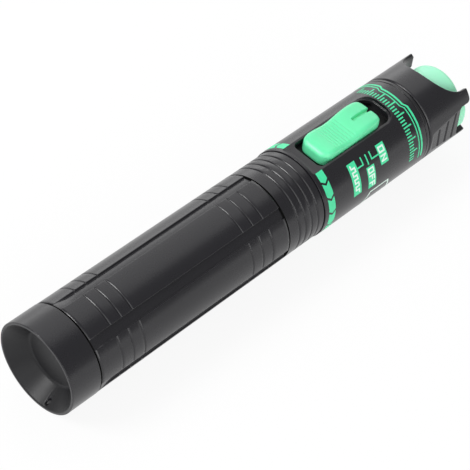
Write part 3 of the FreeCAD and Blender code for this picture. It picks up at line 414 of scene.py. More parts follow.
# Each kind of groove: its places, its width, the run of its walls and its depth, and
# whether it is cut in the panels alone.
GROOVES = [(PARTINGS, 0.4, 0.08, 0.5, True), (CROSS, 0.38, 0.38, 0.22, True), (RINGS, 0.4, 0.4, 0.28, False)]
RIM_EDGE, MOUTH_EDGE = 0.6, SLEEVE_END - 0.35
RECESS_DEPTH, RECESS_FLOOR, RIM_RADIUS = 5.8, 9.2, 13.85
CELL_BORE, BORE_FLOOR = 12.2, 8.0
MOUTH_BORE, MOUTH_STEP = 12.3, 86.15
RIB_START, RIB_END, RIB_HALF, RIB_FOOT = BORE_FLOOR + 0.1, 71.0, 0.8, 7.4
HOLE_X, HOLE_ANGLE, HOLE_RADIUS, HOLE_START = 1.9, 161.5, 0.9, 11.0


def sleeve_radius(x, angle):
    """Outer radius: the tail ring's, less a small step to the panels and another to the band,
    less the channels' depth after a ramp, and less each groove's depth inside its strip."""
    off = (angle - PANEL_CENTRE) % PANEL_PITCH - PANEL_PITCH / 2
    channel = strip(off, 0, CHANNEL_WIDTH, CHANNEL_EDGE)
    stop = BAND_START - STEP_RUN / 2
    ramp = np.where(x < stop - CHANNEL_STOP, smooth((x - TAIL_RING) / CHANNEL_RAMP),
                    smooth((stop - x) / CHANNEL_STOP))
    radius = TAIL_RADIUS - (TAIL_RADIUS - PANEL_RADIUS) * smooth((x - TAIL_RING) / STEP_RUN + 0.5)
    radius = radius - (PANEL_RADIUS - BAND_RADIUS) * smooth((x - BAND_START) / STEP_RUN + 0.5)
    radius = radius - CHANNEL_DEPTH * channel * ramp
    for places, width, edge, depth, panels_only in GROOVES:
        share = 1 - channel if panels_only else 1
        for place in places:
            radius = radius - depth * share * strip(x, place, width, edge)
    return radius


def make_sleeve():
    """The outer face is the grid sleeve_radius(x, angle); the rim, the recess, the mouth and
    the bore are an outline carried round. The recess is duller and painted darker as shade, and the partings
    are painted black as shade in their grooves."""
    off = stations(-PANEL_PITCH / 2, PANEL_PITCH / 2, 1.7, (0, CHANNEL_WIDTH, CHANNEL_EDGE))[:-1]
    panels = PANEL_CENTRE + PANEL_PITCH / 2 + PANEL_PITCH * np.arange(6)[:, None]
    angles = np.unique(np.round((off + panels) % 360, 4)) - 180
    features = [(place, width, edge) for places, width, edge, *_ in GROOVES for place in places]
    features += [(TAIL_RING, 0, STEP_RUN), (BAND_START, 0, STEP_RUN), (BAND_START - 0.17, 0, CHANNEL_STOP)]
    x = stations(RIM_EDGE, MOUTH_EDGE, 1.6, *features)
    outer = polar(x[:, None], sleeve_radius(x[:, None], angles[None]), angles[None])
    tail = rounded([(RECESS_DEPTH, 0), (RECESS_DEPTH, RECESS_FLOOR), (0.2, RIM_RADIUS), (0, RIM_RADIUS + 0.3),
                    (0, TAIL_RADIUS), (RIM_EDGE, TAIL_RADIUS)], (0, 1.4, 0.3, 0.2, 0.25, 0), 6)
    mouth = rounded([(MOUTH_EDGE, BAND_RADIUS), (SLEEVE_END, BAND_RADIUS), (SLEEVE_END, MOUTH_BORE),
                     (MOUTH_STEP, MOUTH_BORE), (MOUTH_STEP, CELL_BORE), (BORE_FLOOR, CELL_BORE),
                     (BORE_FLOOR, 0)], (0, 0.3, 0.4, 0, 0, 0.5, 0), 5)
    whole = np.concatenate([turned(tail, angles), outer, turned(mouth, angles)])
    made = piece("sleeve_shell", [whole], satin_black, "sleeve", ["grip_sleeve"])
    made.data.materials.append(recess_dull_painted_shade.material)
    made.data.materials.append(parting_painted_shade.material)
    middles = np.empty(3 * len(made.data.polygons))
    made.data.polygons.foreach_get("center", middles)
    middles = middles.reshape(-1, 3) / MM - (TAIL_X, 0, AXIS_Z)
    reach = np.hypot(middles[:, 1], middles[:, 2])
    # Painted shade: faces of the tail recess take the darker, duller black that stands in for shade in the
    # hollow.
    inside = (middles[:, 0] < RECESS_DEPTH + 0.2) & (reach < RIM_RADIUS + 0.25)
    outside = (reach > MOUTH_BORE + 1.5) & (reach < TAIL_RADIUS - 0.005)
    # Painted shade: faces in the parting grooves take a near-black that stands in for shade there.
    parting_shade_faces = (np.abs(middles[:, :1] - PARTINGS).min(1) < PARTED_HALF) & outside
    made.data.polygons.foreach_set("material_index", inside + 2 * parting_shade_faces)
    return made


def blocks(name, boxes, finish, body):
    """Closed boxes, each given by its low and high corner and a turn about the pen's axis."""
    corners = np.array([[x, y, z] for x in (0, 1) for y in (0, 1) for z in (0, 1)], float)
    sides = np.array([(0, 1, 3, 2), (4, 6, 7, 5), (0, 4, 5, 1), (2, 3, 7, 6), (0, 2, 6, 4), (1, 5, 7, 3)])
    points, faces = [], []
    for k, (low, high, turn) in enumerate(boxes):
        points.append(about_axis(np.array(low) + corners * (np.array(high) - low), turn))
        faces.append(sides + 8 * k)
    return finished(name, points, faces, finish, body, flat=True)


def bored(made, start, direction, radius, length=8.0):
    """Cuts a round hole of a radius from a place along a direction, and keeps the cut mesh."""
    work = bmesh.new()
    turn = Vector(direction).to_track_quat("Z", "Y").to_matrix().to_4x4()
    middle = (Vector(start) + length / 2 * Vector(direction) + Vector((TAIL_X, 0, AXIS_Z))) * MM
    bmesh.ops.create_cone(work, cap_ends=True, segments=32, radius1=radius * MM, radius2=radius * MM,
                          depth=length * MM, matrix=Matrix.Translation(middle) @ turn)
    tool_mesh = bpy.data.meshes.new("drill")
    work.to_mesh(tool_mesh)
    work.free()
    tool = bpy.data.objects.new("drill", tool_mesh)
    bpy.context.collection.objects.link(tool)
    cut = made.modifiers.new("hole", "BOOLEAN")
    cut.operation, cut.solver, cut.object = "DIFFERENCE", "EXACT", tool
    shading = made.modifiers["even_shading"]
    shading.show_viewport = False
    bpy.context.view_layer.update()
    done = bpy.data.meshes.new_from_object(made.evaluated_get(bpy.context.evaluated_depsgraph_get()))
    made.modifiers.remove(cut)
    shading.show_viewport = True
    made.data = done
    bpy.data.objects.remove(tool)


bored(make_sleeve(), polar(HOLE_X, HOLE_START, HOLE_ANGLE), polar(0, 1, HOLE_ANGLE), HOLE_RADIUS)
RIB = (RIB_START, -RIB_HALF, RIB_FOOT), (RIB_END, RIB_HALF, CELL_BORE + 0.05)
blocks("sleeve_ribs", [(*RIB, PANEL_PITCH * k) for k in range(6)], inner_black, "sleeve")

# ---- front housing ---------------------------------------
OPENING = dict(rear=HOUSING_START + 5.0, front=HOUSING_END - 9.15, half=5.8, rear_round=1.8, front_round=3.8)
DECK_EDGE = dict(rear=HOUSING_START + 0.95, front=HOUSING_END - 8.7, half=6.58, rear_round=1.0,
                 front_round=4.2)
# Points along half of a plan's rear, its corner, its side, its bend and half of its front.
COUNTS = (70, 10, 60, 14, 70)
HOUSING_BORE, SPIGOT_RADIUS, SPIGOT_BORE = 12.6, 12.0, 9.8
BORE_START = HOUSING_START + 2.4
OPENING_LIP, DECK_EASE, RIM_EASE = 0.22, 0.12, 0.3


def plan(rear, front, half, rear_round, front_round, grow=0.0):
    """A closed rounded rectangle seen from above, as (x, y), with as many points on each run
    as every other plan has. It starts behind and goes round by the +Y side."""
    rear, front, half = rear - grow, front + grow, half + grow
    rear_round, front_round = max(rear_round + grow, 0.02), max(front_round + grow, 0.02)
    behind, corner, side, bend, ahead = (np.linspace(0, 1, count, endpoint=False) for count in COUNTS)
    corner, bend = corner * math.pi / 2, bend * math.pi / 2
    runs = [
        (rear + 0 * behind, behind * (half - rear_round)),
        (rear + rear_round * (1 - np.cos(corner)), half - rear_round * (1 - np.sin(corner))),
        (rear + rear_round + side * (front - front_round - rear - rear_round), half + 0 * side),
        (front - front_round * (1 - np.sin(bend)), half - front_round * (1 - np.cos(bend))),
        (front + 0 * ahead, (1 - ahead) * (half - front_round)),
        (np.array([front]), np.zeros(1)),
    ]
    return mirrored(np.concatenate([np.stack(run, -1) for run in runs]))


def wrap(start, end):
    """The housing's whole side unrolled, as a closed rectangle of (x, angle) with as many
    points as a plan: round the rear rim, along the underside and round the front rim."""
    behind, corner, side, bend, ahead = COUNTS
    rear_count, front_count = behind + corner // 2, bend - bend // 2 + ahead + 1
    side_count = corner - corner // 2 + side + bend // 2
    angle = np.concatenate([np.linspace(0, 180, rear_count, endpoint=False), np.full(side_count, 180.0),
                            np.linspace(180, 0, front_count)])
    x = np.concatenate([np.full(rear_count, start), np.linspace(start, end, side_count, endpoint=False),
                        np.full(front_count, end)])
    return mirrored(np.stack([x, angle], -1))


def upright(outline, z):
    """A plan's points at a height, or at a height for each point."""
    return np.stack([outline[:, 0], outline[:, 1], np.broadcast_to(z, len(outline))], -1)


def on_round(outline, radius):
    """Heights at which a plan's points lie on a round wall: z = sqrt(radius^2 - y^2)."""
    return np.sqrt(np.maximum(radius ** 2 - outline[:, 1] ** 2, 0))


def unrolled(outline, radius):
    """A plan's points as (x, angle) on a round wall, at the angle asin(-y / radius)."""
    angle = -np.degrees(np.arcsin(np.clip(outline[:, 1] / radius, -1, 1)))
    return np.stack([outline[:, 0], angle], -1)


def make_housing():
    """Closed loops run from the bore, up the wall of the opening, over its lip, across the
    deck and its end walls, and then spread over the round side to both rims. Rows between the
    deck's edge and the rims are (1-t) deck + t rims in x and angle."""
    start, end = HOUSING_START + RIM_EASE, HOUSING_END - RIM_EASE
    opening, deck = plan(**OPENING), plan(**DECK_EDGE)
    rows = []
    inner, bore = unrolled(opening, HOUSING_BORE), wrap(BORE_START, end) * (1, -1)
    for t in np.linspace(1, 0, 16):
        mixed = (1 - t) * inner + t * bore
        rows.append(polar(mixed[:, 0], HOUSING_BORE, mixed[:, 1]))
    low = on_round(opening, HOUSING_BORE)
    for t in (0.4, 0.8, 1.0):
        rows.append(upright(opening, low + t * (DECK - OPENING_LIP - low)))
    for turn in np.radians([18, 36, 54, 72, 90]):
        widened = plan(**OPENING, grow=OPENING_LIP * (1 - math.cos(turn)))
        rows.append(upright(widened, DECK - OPENING_LIP * (1 - math.sin(turn))))
    inset = plan(**DECK_EDGE, grow=-DECK_EASE)
    rows.append(upright(0.5 * plan(**OPENING, grow=OPENING_LIP) + 0.5 * inset, DECK))
    rows.append(upright(inset, DECK))
    top = np.maximum(on_round(deck, RADIUS), DECK)
    for t in (0.1, 0.5, 0.86):
        rows.append(upright(deck, DECK + t * (top - DECK)))
    edge, rims = unrolled(plan(**DECK_EDGE, grow=DECK_EASE), RADIUS), wrap(start, end) * (1, -1)
    for t in np.concatenate([[0, 0.012, 0.03], np.linspace(0.05, 1, 56)]):
        mixed = (1 - t) * edge + t * rims
        rows.append(rested(polar(mixed[:, 0], RADIUS, mixed[:, 1])))
    rear_angles, front_angles = (np.unique(rims[np.isclose(rims[:, 0], x), 1]) for x in (start, end))
    spigot = rounded([(start, RADIUS), (HOUSING_START, RADIUS), (HOUSING_START, SPIGOT_RADIUS),
                      (SPIGOT_START, SPIGOT_RADIUS), (SPIGOT_START, SPIGOT_BORE), (BORE_START, SPIGOT_BORE),
                      (BORE_START, HOUSING_BORE)], (0, 0.3, 0.1, 0.3, 0.3, 0, 0), 4)
    mouth = rounded([(end, RADIUS), (HOUSING_END, RADIUS), (HOUSING_END, HOUSING_BORE), (end, HOUSING_BORE)],
                    (0, 0.3, 0.2, 0), 4)
    ends = [rested(turned(spigot, rear_angles)), rested(turned(mouth, front_angles))]
    piece("housing_shell", [np.stack(rows), *ends], satin_black, "housing", ["front_housing"])


def make_collar():
    """A plain ring with eased edges, its outline carried round."""
    outline = rounded([(COLLAR_START, HOUSING_BORE), (COLLAR_START, RADIUS), (COLLAR_END, RADIUS),
                       (COLLAR_END, HOUSING_BORE), (COLLAR_START, HOUSING_BORE)], (0, 0.25, 0.25, 0.1, 0), 4)
    ring = rested(turned(outline, round_angles(240)))
    piece("collar_ring", [ring], band_black, "housing", ["head_collar"])


make_housing()
make_collar()

# ---- head crown ------------------------------------------
CROWN_INNER, NOSE = 11.5, 13.6    # its bore, and where its front edge turns in
CROWN_LIP = 0.4
CROWN_TURN = -4.75
SHOULDER = CROWN_START + CROWN_LIP
TIP = CROWN_END + 0.5
BITE_HALF, BITE_DEPTH, BITE_START, BITE_POWER = 11.4, 10.5, TIP - 0.6, 2.3
BITE_ANGLE = math.degrees(math.asin(BITE_HALF / RADIUS))
BITE_POINTS = 40
BITE_FLARE = 0.92                 # an inner edge's half width as a share of the outer one's
SIDE_UP, SIDE_DOWN, SIDE_DEPTH = 68.3, 112.0, 5.1
BOSS_RADIUS, NUT_POCKET, PORT_HOLE = 12.5, 6.1, 4.1
WEB_REAR, WEB_FRONT = HOUSING_END + 0.45, HOUSING_END + 5.05
FACET_START, FACET_SLOPE = CROWN_START + 0.6, math.tan(math.radians(2.5))
FACET_OUT, FACET_FADE = 14.6, 0.5
# The side grooves' upper and lower ends: each is x from the crown's rear, and height.
FACET_LINES = [((4.75, 2.9), (5.15, -5.8)), ((9.15, 3.8), (8.65, -7.7)), ((13.05, 4.9), (12.35, -7.6))]
LINE_WIDTH, LINE_EDGE, LINE_DEPTH = 0.75, 0.4, 0.42


def scallop(angle_from_top):
    """Where a bite meets the outside: x = start - depth (1 - |15 sin a / half|^p)^(1/p)."""
    reach = np.abs(RADIUS * np.sin(np.radians(angle_from_top))) / BITE_HALF
    return BITE_START - BITE_DEPTH * np.maximum(1 - reach ** BITE_POWER, 0) ** (1 / BITE_POWER)


def crown_edge():
    """The crown's front edge unrolled, as (x, length round), from the top by one side to the
    bottom: a bite, a point, the side notch, a point and the lower bite."""
    a = BITE_ANGLE * np.sin(np.linspace(0, math.pi / 2, BITE_POINTS))
    floor, bitten = TIP - SIDE_DEPTH, BITE_ANGLE + 0.3
    corners = [(TIP, bitten), (TIP, SIDE_UP), (floor, SIDE_UP), (floor, SIDE_DOWN), (TIP, SIDE_DOWN),
               (TIP, 180 - bitten)]
    upper, lower = np.stack([scallop(a), a], -1), np.stack([scallop(a[::-1]), 180 - a[::-1]], -1)
    points = np.concatenate([upper, corners, lower]) * (1, DEGREE)
    radii = np.concatenate([np.zeros(BITE_POINTS), [1.3, 1.7, 1.3, 1.3, 1.5, 1.3], np.zeros(BITE_POINTS)])
    return along(rounded(points, radii, 8), 0.25)


def offset(path, distance):
    """The path moved sideways by a distance, towards the crown's body."""
    run = np.gradient(path, axis=0)
    run /= np.linalg.norm(run, axis=1, keepdims=True)
    return path + distance * np.stack([-run[:, 1], run[:, 0]], -1)


def inner_angle(angle):
    """The bites open out inwards, so an inner edge lies at asin(flare 15 sin a / 11.5); on the
    side notches it keeps its angle, and between them it is spread evenly."""
    a = np.linspace(0, BITE_ANGLE, BITE_POINTS)
    reach = BITE_FLARE * RADIUS * np.sin(np.radians(a)) / CROWN_INNER
    b = np.degrees(np.arcsin(np.clip(reach, -1, 1)))
    known = np.concatenate([a, [SIDE_UP, SIDE_DOWN], 180 - a[::-1]])
    found = np.concatenate([b, [SIDE_UP, SIDE_DOWN], 180 - b[::-1]])
    return np.interp(angle, known, found)


def faceted(points):
    """Each side is cut by a plane that slopes in by 2.5 degrees towards the front, y being the
    lesser of |y| and the plane, and three slanted grooves are pressed into it."""
    x, y, z = points[..., 0], points[..., 1], points[..., 2]
    fade = FACET_FADE * (1 - smooth((x - FACET_START) / 1.2))
    plane = FACET_OUT + fade - np.maximum(x - FACET_START - 0.7, 0) * FACET_SLOPE
    side, reach = np.sign(y), np.abs(y)
    over = np.maximum(reach - plane, 0)
    groove = 0
    for (x_top, z_top), (x_low, z_low) in FACET_LINES:
        middle = CROWN_START + x_top + (z_top - z) * (x_low - x_top) / (z_top - z_low)
        ends = smooth((z_top + 0.6 - z) / 0.8) * smooth((z - z_low + 0.6) / 0.8)
        groove = groove + strip(x, middle, LINE_WIDTH, LINE_EDGE) * ends
    cut = over + LINE_DEPTH * groove * smooth(over / 0.12)
    return np.stack([x, side * (reach - cut), z], -1)


def make_crown():
    """Rows run from the shoulder to the front edge, round the edge, and back inside to the web.
    Between two rows x and angle are (1-t) of one and t of the other."""
    path = crown_edge()
    even = mirrored(np.stack([0 * path[:, 0], np.linspace(0, 180, len(path))], -1))[:, 1]

    def edge_row(distance, radius):
        """x and angle of the front edge, a distance behind it and at a radius."""
        moved = offset(path, distance)
        moved[:, 1] = np.clip(moved[:, 1] / DEGREE, 0, 180)
        moved[0, 1], moved[-1, 1] = 0, 180
        share = np.clip((NOSE - radius) / (NOSE - CROWN_INNER), 0, 1)
        moved[:, 1] = (1 - share) * moved[:, 1] + share * inner_angle(moved[:, 1])
        return mirrored(moved).T

    rear = rounded([(WEB_FRONT, PORT_HOLE), (WEB_REAR, PORT_HOLE), (WEB_REAR, NUT_POCKET),
                    (BOSS_START, NUT_POCKET), (BOSS_START, BOSS_RADIUS), (CROWN_START, BOSS_RADIUS),
                    (CROWN_START, RADIUS - CROWN_LIP), (SHOULDER, RADIUS)],
                   (0, 0, 0, 0.3, 0.3, 0.2, 0.15, 0), 4)
    rows = [turned(rear[:-1], even)]
    x_edge, a_edge = edge_row(CROWN_LIP, RADIUS)
    t = np.linspace(0, 1, 86)[:, None]
    x, a = (1 - t) * SHOULDER + t * x_edge, (1 - smooth(t)) * even + smooth(t) * a_edge
    rows.append(faceted(polar(x, RADIUS, a)))
    turns = np.radians([25, 50, 75, 90])
    lips = list(zip(CROWN_LIP * (1 - np.sin(turns)), CROWN_LIP * (1 - np.cos(turns))))
    for back, down in lips:
        x_row, a_row = edge_row(back, RADIUS - down)
        rows.append(faceted(polar(x_row, RADIUS - down, a_row))[None])
    for back, radius in [(0, NOSE)] + [(back, CROWN_INNER + down) for back, down in lips[::-1]]:
        x_row, a_row = edge_row(back, radius)
        rows.append(polar(x_row, radius, a_row)[None])
    inner_end = WEB_FRONT + 0.35
    x_edge, a_edge = edge_row(CROWN_LIP, CROWN_INNER)
    t = np.linspace(0, 1, 24)[:, None]
    rows.append(polar((1 - t) * x_edge + t * inner_end, CROWN_INNER, (1 - t) * a_edge + t * even))
    web = [(inner_end, CROWN_INNER), (WEB_FRONT, CROWN_INNER), (WEB_FRONT, PORT_HOLE)]
    rows.append(turned(rounded(web, (0, 0.3, 0), 4), even))
    whole = rested(about_axis(np.concatenate(rows), CROWN_TURN))
    piece("crown_shell", [whole], satin_black, "housing", ["head_crown"])


make_crown()

# ---- switch knob -----------------------------------------
KNOB_HALF, KNOB_LOW = 5.58, 10.88
REAR_ROUND, FRONT_ROUND = 3.4, 3.6
NOTCH_DEPTH, NOTCH_HALF = 2.0, 1.35
RIBS_START, RIBS_END, RIB_PITCH, RIB_DEPTH = KNOB_REAR + 6.6, KNOB_REAR + 16.6, 1.2, 0.16
SLOT_START, SLOT_WIDTH, SLOT_EDGE, SLOT_DEPTH = KNOB_REAR + 18.9, 1.15, 0.45, 0.95
# The back in side view: its share of the length, and its height over the deck.
BACK = np.array([(0.0, 0.7), (0.07, 1.75), (0.16, 2.45), (0.28, 2.3), (0.4, 1.8), (0.52, 2.05), (0.62, 2.65),
                 (0.7, 3.1), (0.78, 3.25), (0.9, 2.95), (1.0, 1.8)])


def back_height(x):
    """The knob's back in side view: a smooth curve through the humps and the saddle."""
    share = (x - KNOB_REAR) / (KNOB_FRONT - KNOB_REAR)
    fit = np.polynomial.Polynomial.fit(BACK[:, 0], BACK[:, 1], 8)
    return DECK + fit(np.clip(share, 0, 1))


def border(grid):
    """The points round a grid's border, in order."""
    return np.concatenate([grid[0], grid[1:, -1], grid[-1, -2::-1], grid[-2:0:-1, 0]])


def make_knob():
    """A height over a plan: the back's curve, less the rounded edges, the finger ribs and the
    slot between the lobes. The same plan at the bottom closes it."""
    near = KNOB_HALF * np.sin(np.linspace(-math.pi / 2, math.pi / 2, 64))
    y = np.unique(np.round(np.concatenate([near, np.linspace(-1.2, 1.2, 25)]), 4))[None]
    close = 0.5 - 0.5 * np.cos(np.linspace(0, math.pi, 60))
    share = np.unique(np.round(np.concatenate([np.linspace(0, 1, 230), close]), 4))[:, None]
    side_gap = KNOB_HALF - np.abs(y)
    notch = NOTCH_DEPTH * (1 - smooth(np.abs(y) / NOTCH_HALF))
    rear = KNOB_REAR + 1.3 + eased(side_gap, REAR_ROUND)
    straight = KNOB_FRONT - eased(side_gap, FRONT_ROUND)
    x = rear + share * (straight - notch - rear)
    edges = 0.9 * eased(side_gap, 1.7) + 0.5 * eased(x - rear, 2.0)
    z = back_height(x) - 0.12 - edges - 0.9 * eased(np.maximum(straight - x, 0), 1.3)
    saddle = smooth(x - RIBS_START) * smooth(RIBS_END - x) * smooth((side_gap - 0.9) / 0.7)
    z = z - RIB_DEPTH * saddle * (0.5 - 0.5 * np.cos(2 * math.pi * (x - RIBS_START) / RIB_PITCH))
    z = z - SLOT_DEPTH * strip(y, 0, SLOT_WIDTH, SLOT_EDGE) * smooth((x - SLOT_START) / 0.4)
    top = np.stack([x, y + 0 * x, z], -1)
    bottom = np.stack([x, y + 0 * x, 0 * x + KNOB_LOW], -1)
    t = np.linspace(0, 1, 8)[:, None, None]
    skirt = (1 - t) * border(top)[None] + t * border(bottom)[None]
    piece("switch_button", [skirt], mint, "switch", ["switch_knob"], [top, bottom])


make_knob()

# ---- dust cap --------------------------------------------
CAP_RADIUS, CAP_RISE, CAP_POWER = 10.15, 4.1, 0.85
CAP_BORE, CAP_SKIRT = 8.95, CAP_START + 1.0
SOCKET_BORE, SOCKET_RADIUS, SOCKET_END = 4.3, 5.8, CAP_END - 3.25
EAR_MIDDLE, EAR_HALF = 11.7, 2.0  # its middle radius, and half its depth


def make_cap():
    """A domed outline carried round, x = dome + rise sin t and radius = 10.15 cos(t)^0.85, with
    its hollow, and the socket that grips the port inside it."""
    dome = CAP_END - CAP_RISE
    t = np.linspace(0, math.pi / 2, 26)
    outside = np.stack([dome + CAP_RISE * np.sin(t), CAP_RADIUS * np.cos(t) ** CAP_POWER], -1)
    hollow = rounded([(CAP_END - 1.6, 0), (CAP_END - 2.6, 4.0), (dome - 0.6, 8.2), (dome - 1.6, CAP_BORE),
                      (CAP_SKIRT + 0.25, CAP_BORE)], 0.4, 3)
    skirt = rounded([(CAP_SKIRT, CAP_BORE + 0.25), (CAP_SKIRT, CAP_RADIUS - 0.25),
                     (CAP_SKIRT + 0.25, CAP_RADIUS), (dome - 3.15, CAP_RADIUS)], 0.1, 2)
    dome_ring = turned(np.concatenate([hollow, skirt, outside]), round_angles(200))
    piece("cap_dome", [dome_ring], cap_mint, "cap", ["dust_cap"])
    start = CAP_START + 0.05
    socket = rounded([(start, SOCKET_BORE), (start, SOCKET_RADIUS), (SOCKET_END, SOCKET_RADIUS),
                      (SOCKET_END, SOCKET_BORE), (start, SOCKET_BORE)], (0, 0.3, 0, 0, 0), 3)
    piece("cap_socket", [turned(socket, round_angles(96))], cap_mint, "cap")


def make_ear(name, side):
    """A rounded block in the crown's side notch: in x, angle and radius it is a ball whose
    sines and cosines are raised to small powers, which squares it."""
    low_x, high_x, low_a, high_a = TIP - 4.4, TIP - 1.1, SIDE_UP + 2.4, SIDE_DOWN - 2.4
    turn = np.linspace(0, 2 * math.pi, 96, endpoint=False)
    lean = np.linspace(-math.pi / 2, math.pi / 2, 22)[:, None]
    x = (low_x + high_x) / 2 + (high_x - low_x) / 2 * squared(np.sin(lean), 0.3)
    shrink = np.cos(lean) ** 0.22
    shrink[0] = shrink[-1] = 0
    a = (low_a + high_a) / 2 + (high_a - low_a) / 2 * squared(np.cos(turn), 0.35) * shrink
    radius = EAR_MIDDLE + EAR_HALF * squared(np.sin(turn), 0.35) * shrink
    piece(name, [polar(x + 0 * a, radius, side * a + CROWN_TURN)], cap_mint, "cap")


make_cap()
make_ear("cap_ear_near", 1)
make_ear("cap_ear_far", -1)


# ---- small wound pieces ----------------------------------
def make_spring():
    """A round wire swept along a helix that narrows towards the cell: the wire's section
    stands across the path, and its two ends are drawn to a point inside the wire."""
    (low, high), wire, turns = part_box("tail_spring"), 0.45, 4
    start, end = low.x / MM - TAIL_X + wire, high.x / MM - TAIL_X - wire
    reach = (high.z - low.z) / 2 / MM - wire
    t = np.linspace(0, 1, 420)[:, None]
    turn = 2 * math.pi * turns * t
    around = np.linspace(0, 2 * math.pi, 14, endpoint=False)[None]
    thick = np.full_like(t, wire)
    thick[0] = thick[-1] = 0
    x = start + (end - start) * t + thick * np.sin(around)
    r = reach * (0.72 + 0.28 * (1 - t)) + thick * np.cos(around)
    coil = np.stack([x, r * np.cos(turn), r * np.sin(turn)], -1)
    piece("spring_wire", [coil], wire_steel, "sleeve", ["tail_spring"])


def make_thread():
    """The ridge of the housing's thread: a low rounded tooth on a helix round the spigot, its
    size growing from nothing and falling back over the first and last part of its length."""
    length, turns, tall, half_width = 8.4, 6, 0.24, 0.45
    t = np.linspace(0, 1, 700)[:, None]
    turn = 2 * math.pi * turns * t
    around = np.linspace(0, 2 * math.pi, 8, endpoint=False)[None]
    share = smooth(t / 0.04) * smooth((1 - t) / 0.04)
    x = SPIGOT_START + 1.6 + length * t + half_width * share * np.sin(around)
    r = SPIGOT_RADIUS - 0.02 + tall * share * np.cos(around)
    ridge = np.stack([x, -r * np.sin(turn), r * np.cos(turn)], -1)
    piece("housing_thread", [ridge], satin_black, "housing")


make_spring()
make_thread()

# ---- printed marks ---------------------------------------
INK, SUNK = 0.035, 0.08           # how far a mark stands out, and how deep its back lies
# Each letter is a list of strokes in a square: along the line of writing, then up.
STROKES = {
    "O": [(0, 0, 1, 0.2), (0, 0.8, 1, 1), (0, 0.2, 0.27, 0.8), (0.73, 0.2, 1, 0.8)],
    "F": [(0, 0, 0.27, 1), (0.27, 0.8, 1, 1), (0.27, 0.42, 0.86, 0.62)],
    "N": [(0, 0, 0.25, 1), (0.75, 0, 1, 1)],
}


def printed(name, outlines, finish, radius=RADIUS):
    """Marks lying on the round side. Each outline is (x, angle) of one four-cornered patch,
    divided along its two long sides into short steps of (1-s) a + s b, and given a thin back."""
    corners, faces, used = [], [], 0
    for outline in outlines:
        a, b, c, d = np.array(outline, float)
        count = 2 + int(abs(np.array([b - a, c - d])[:, 1]).max() / 1.5)
        s = np.linspace(0, 1, count)[:, None]
        loop = np.concatenate([(1 - s) * a + s * b, ((1 - s) * d + s * c)[::-1]])
        n, i = len(loop), np.arange(count - 1)
        for height in (radius - SUNK, radius + INK):
            corners.append(polar(loop[:, 0], height, loop[:, 1]))
        cap = np.stack([i, i + 1, n - 2 - i, n - 1 - i], -1) + used
        faces += [quads(2, n, True) + used, cap, cap[:, ::-1] + n]
        used += 2 * n
    finished(name, corners, faces, finish, "housing", flat=True)


def bar(x0, x1, a0, a1):
    """A patch with square corners, divided round the pen."""
    return [(x0, a0), (x0, a1), (x1, a1), (x1, a0)]


def make_chevrons():
    """A band of blocks at the housing's rear, each ending in a V that points away from the
    deck. The first starts straight; each side mirrors the other."""
    x0, x1, pitch, gap, point = HOUSING_START + 1.7, HOUSING_START + 4.55, 19.9, 3.1, 4.0
    first, deck_end, last, middle = 17.6, 26.0, 176.0, (x0 + x1) / 2
    out = []
    for side in (1, -1):
        for k in range(int((last - first) / pitch)):
            a, b = (first + pitch * k + gap if k else deck_end), first + pitch * (k + 1)
            back, tip = (middle, a + point if k else a), (middle, b + point)
            for outline in ([(x0, a), (x0, b), tip, back], [back, tip, (x1, b), (x1, a)]):
                out.append([(x, side * angle) for x, angle in outline])
    printed("rear_band", out, print_green)


def lettered(word, x, height, start, width, gap):
    """Each letter's strokes, laid along rising angle with their tops towards the head."""
    out = []
    for k, letter in enumerate(word):
        left = start + k * (width + gap)
        for a, low, b, high in STROKES[letter]:
            out.append(bar(x + low * height, x + high * height, left + a * width, left + b * width))
        if letter == "N":
            out.append([(x + height, left + 0.2 * width), (x + 0.75 * height, left + 0.2 * width),
                        (x, left + 0.8 * width), (x + 0.25 * height, left + 0.8 * width)])
    return out


def pulse_mark(x, height, start, end, pulses):
    """A square wave: a bar along, up, along and down again for each pulse."""
    out, pitch, thin, line = [], (end - start) / (2 * pulses), 2.0, 0.5
    for k in range(2 * pulses):
        low = start + k * pitch
        level = x + height - line if k % 2 else x
        out.append(bar(level, level + line, low, low + pitch))
        if k:
            out.append(bar(x, x + height, low - thin / 2, low + thin / 2))
    return out


def make_switch_marks():
    """A green box beside each of the knob's three places, and the line that leads to it."""
    first, middle, last = (KNOB_REAR + d for d in (6.85, 13.6, 20.0))
    tall, line, near, bend, far = 3.45, 0.47, 39.6, 48.5, 50.3
    boxes = [bar(first, first + tall, 38.6, 81.3), bar(middle, middle + tall, 55.6, 84.6),
             bar(last, last + tall, 38.6, 64.2)]
    lines = [bar(first + tall, first + 6.3, bend, far), bar(first + 6.3 - line, first + 6.3, near, bend),
             bar(middle + 1.2, middle + 1.2 + line, 40.0, 53.4),
             bar(last - 3.3, last - 3.3 + line, near, bend), bar(last - 3.3, last, bend, far)]
    printed("switch_labels", boxes + lines, print_green)
    marks = pulse_mark(first + 0.75, tall - 1.5, 41.5, 78.5, 4)
    marks += lettered("OFF", middle + 0.45, tall - 0.9, 57.6, 7.3, 2.0)
    marks += lettered("ON", last + 0.45, tall - 0.9, 41.6, 8.4, 2.6)
    printed("switch_words", marks, print_pale, RADIUS + 0.02)


def make_front_band():
    """A scale of long and short ticks, and in front of it a thin line and a broad one, both
    stepped back where they pass behind the deck's end."""
    start, tick_start, pitch, half = HOUSING_END - 8.35, -40.0, 4.1, 0.9
    step, slant, jog, reach = 19.0, 2.5, 0.9, 92.0
    marks = []
    for k in range(32):
        a = tick_start + pitch * k
        marks.append(bar(start, start + (2.1 if k % 4 else 3.5), a - half, a + half))
    for low, high in ((start + 4.4, start + 4.8), (start + 5.5, start + 6.2)):
        marks.append(bar(low - jog, high - jog, slant - step, step - slant))
        for side in (1, -1):
            marks.append([(low - jog, side * (step - slant)), (low, side * (step + slant)),
                          (high, side * (step + slant)), (high - jog, side * (step - slant))])
            marks.append(bar(low, high, side * (step + slant), side * reach))
    printed("front_scale", marks, print_green)


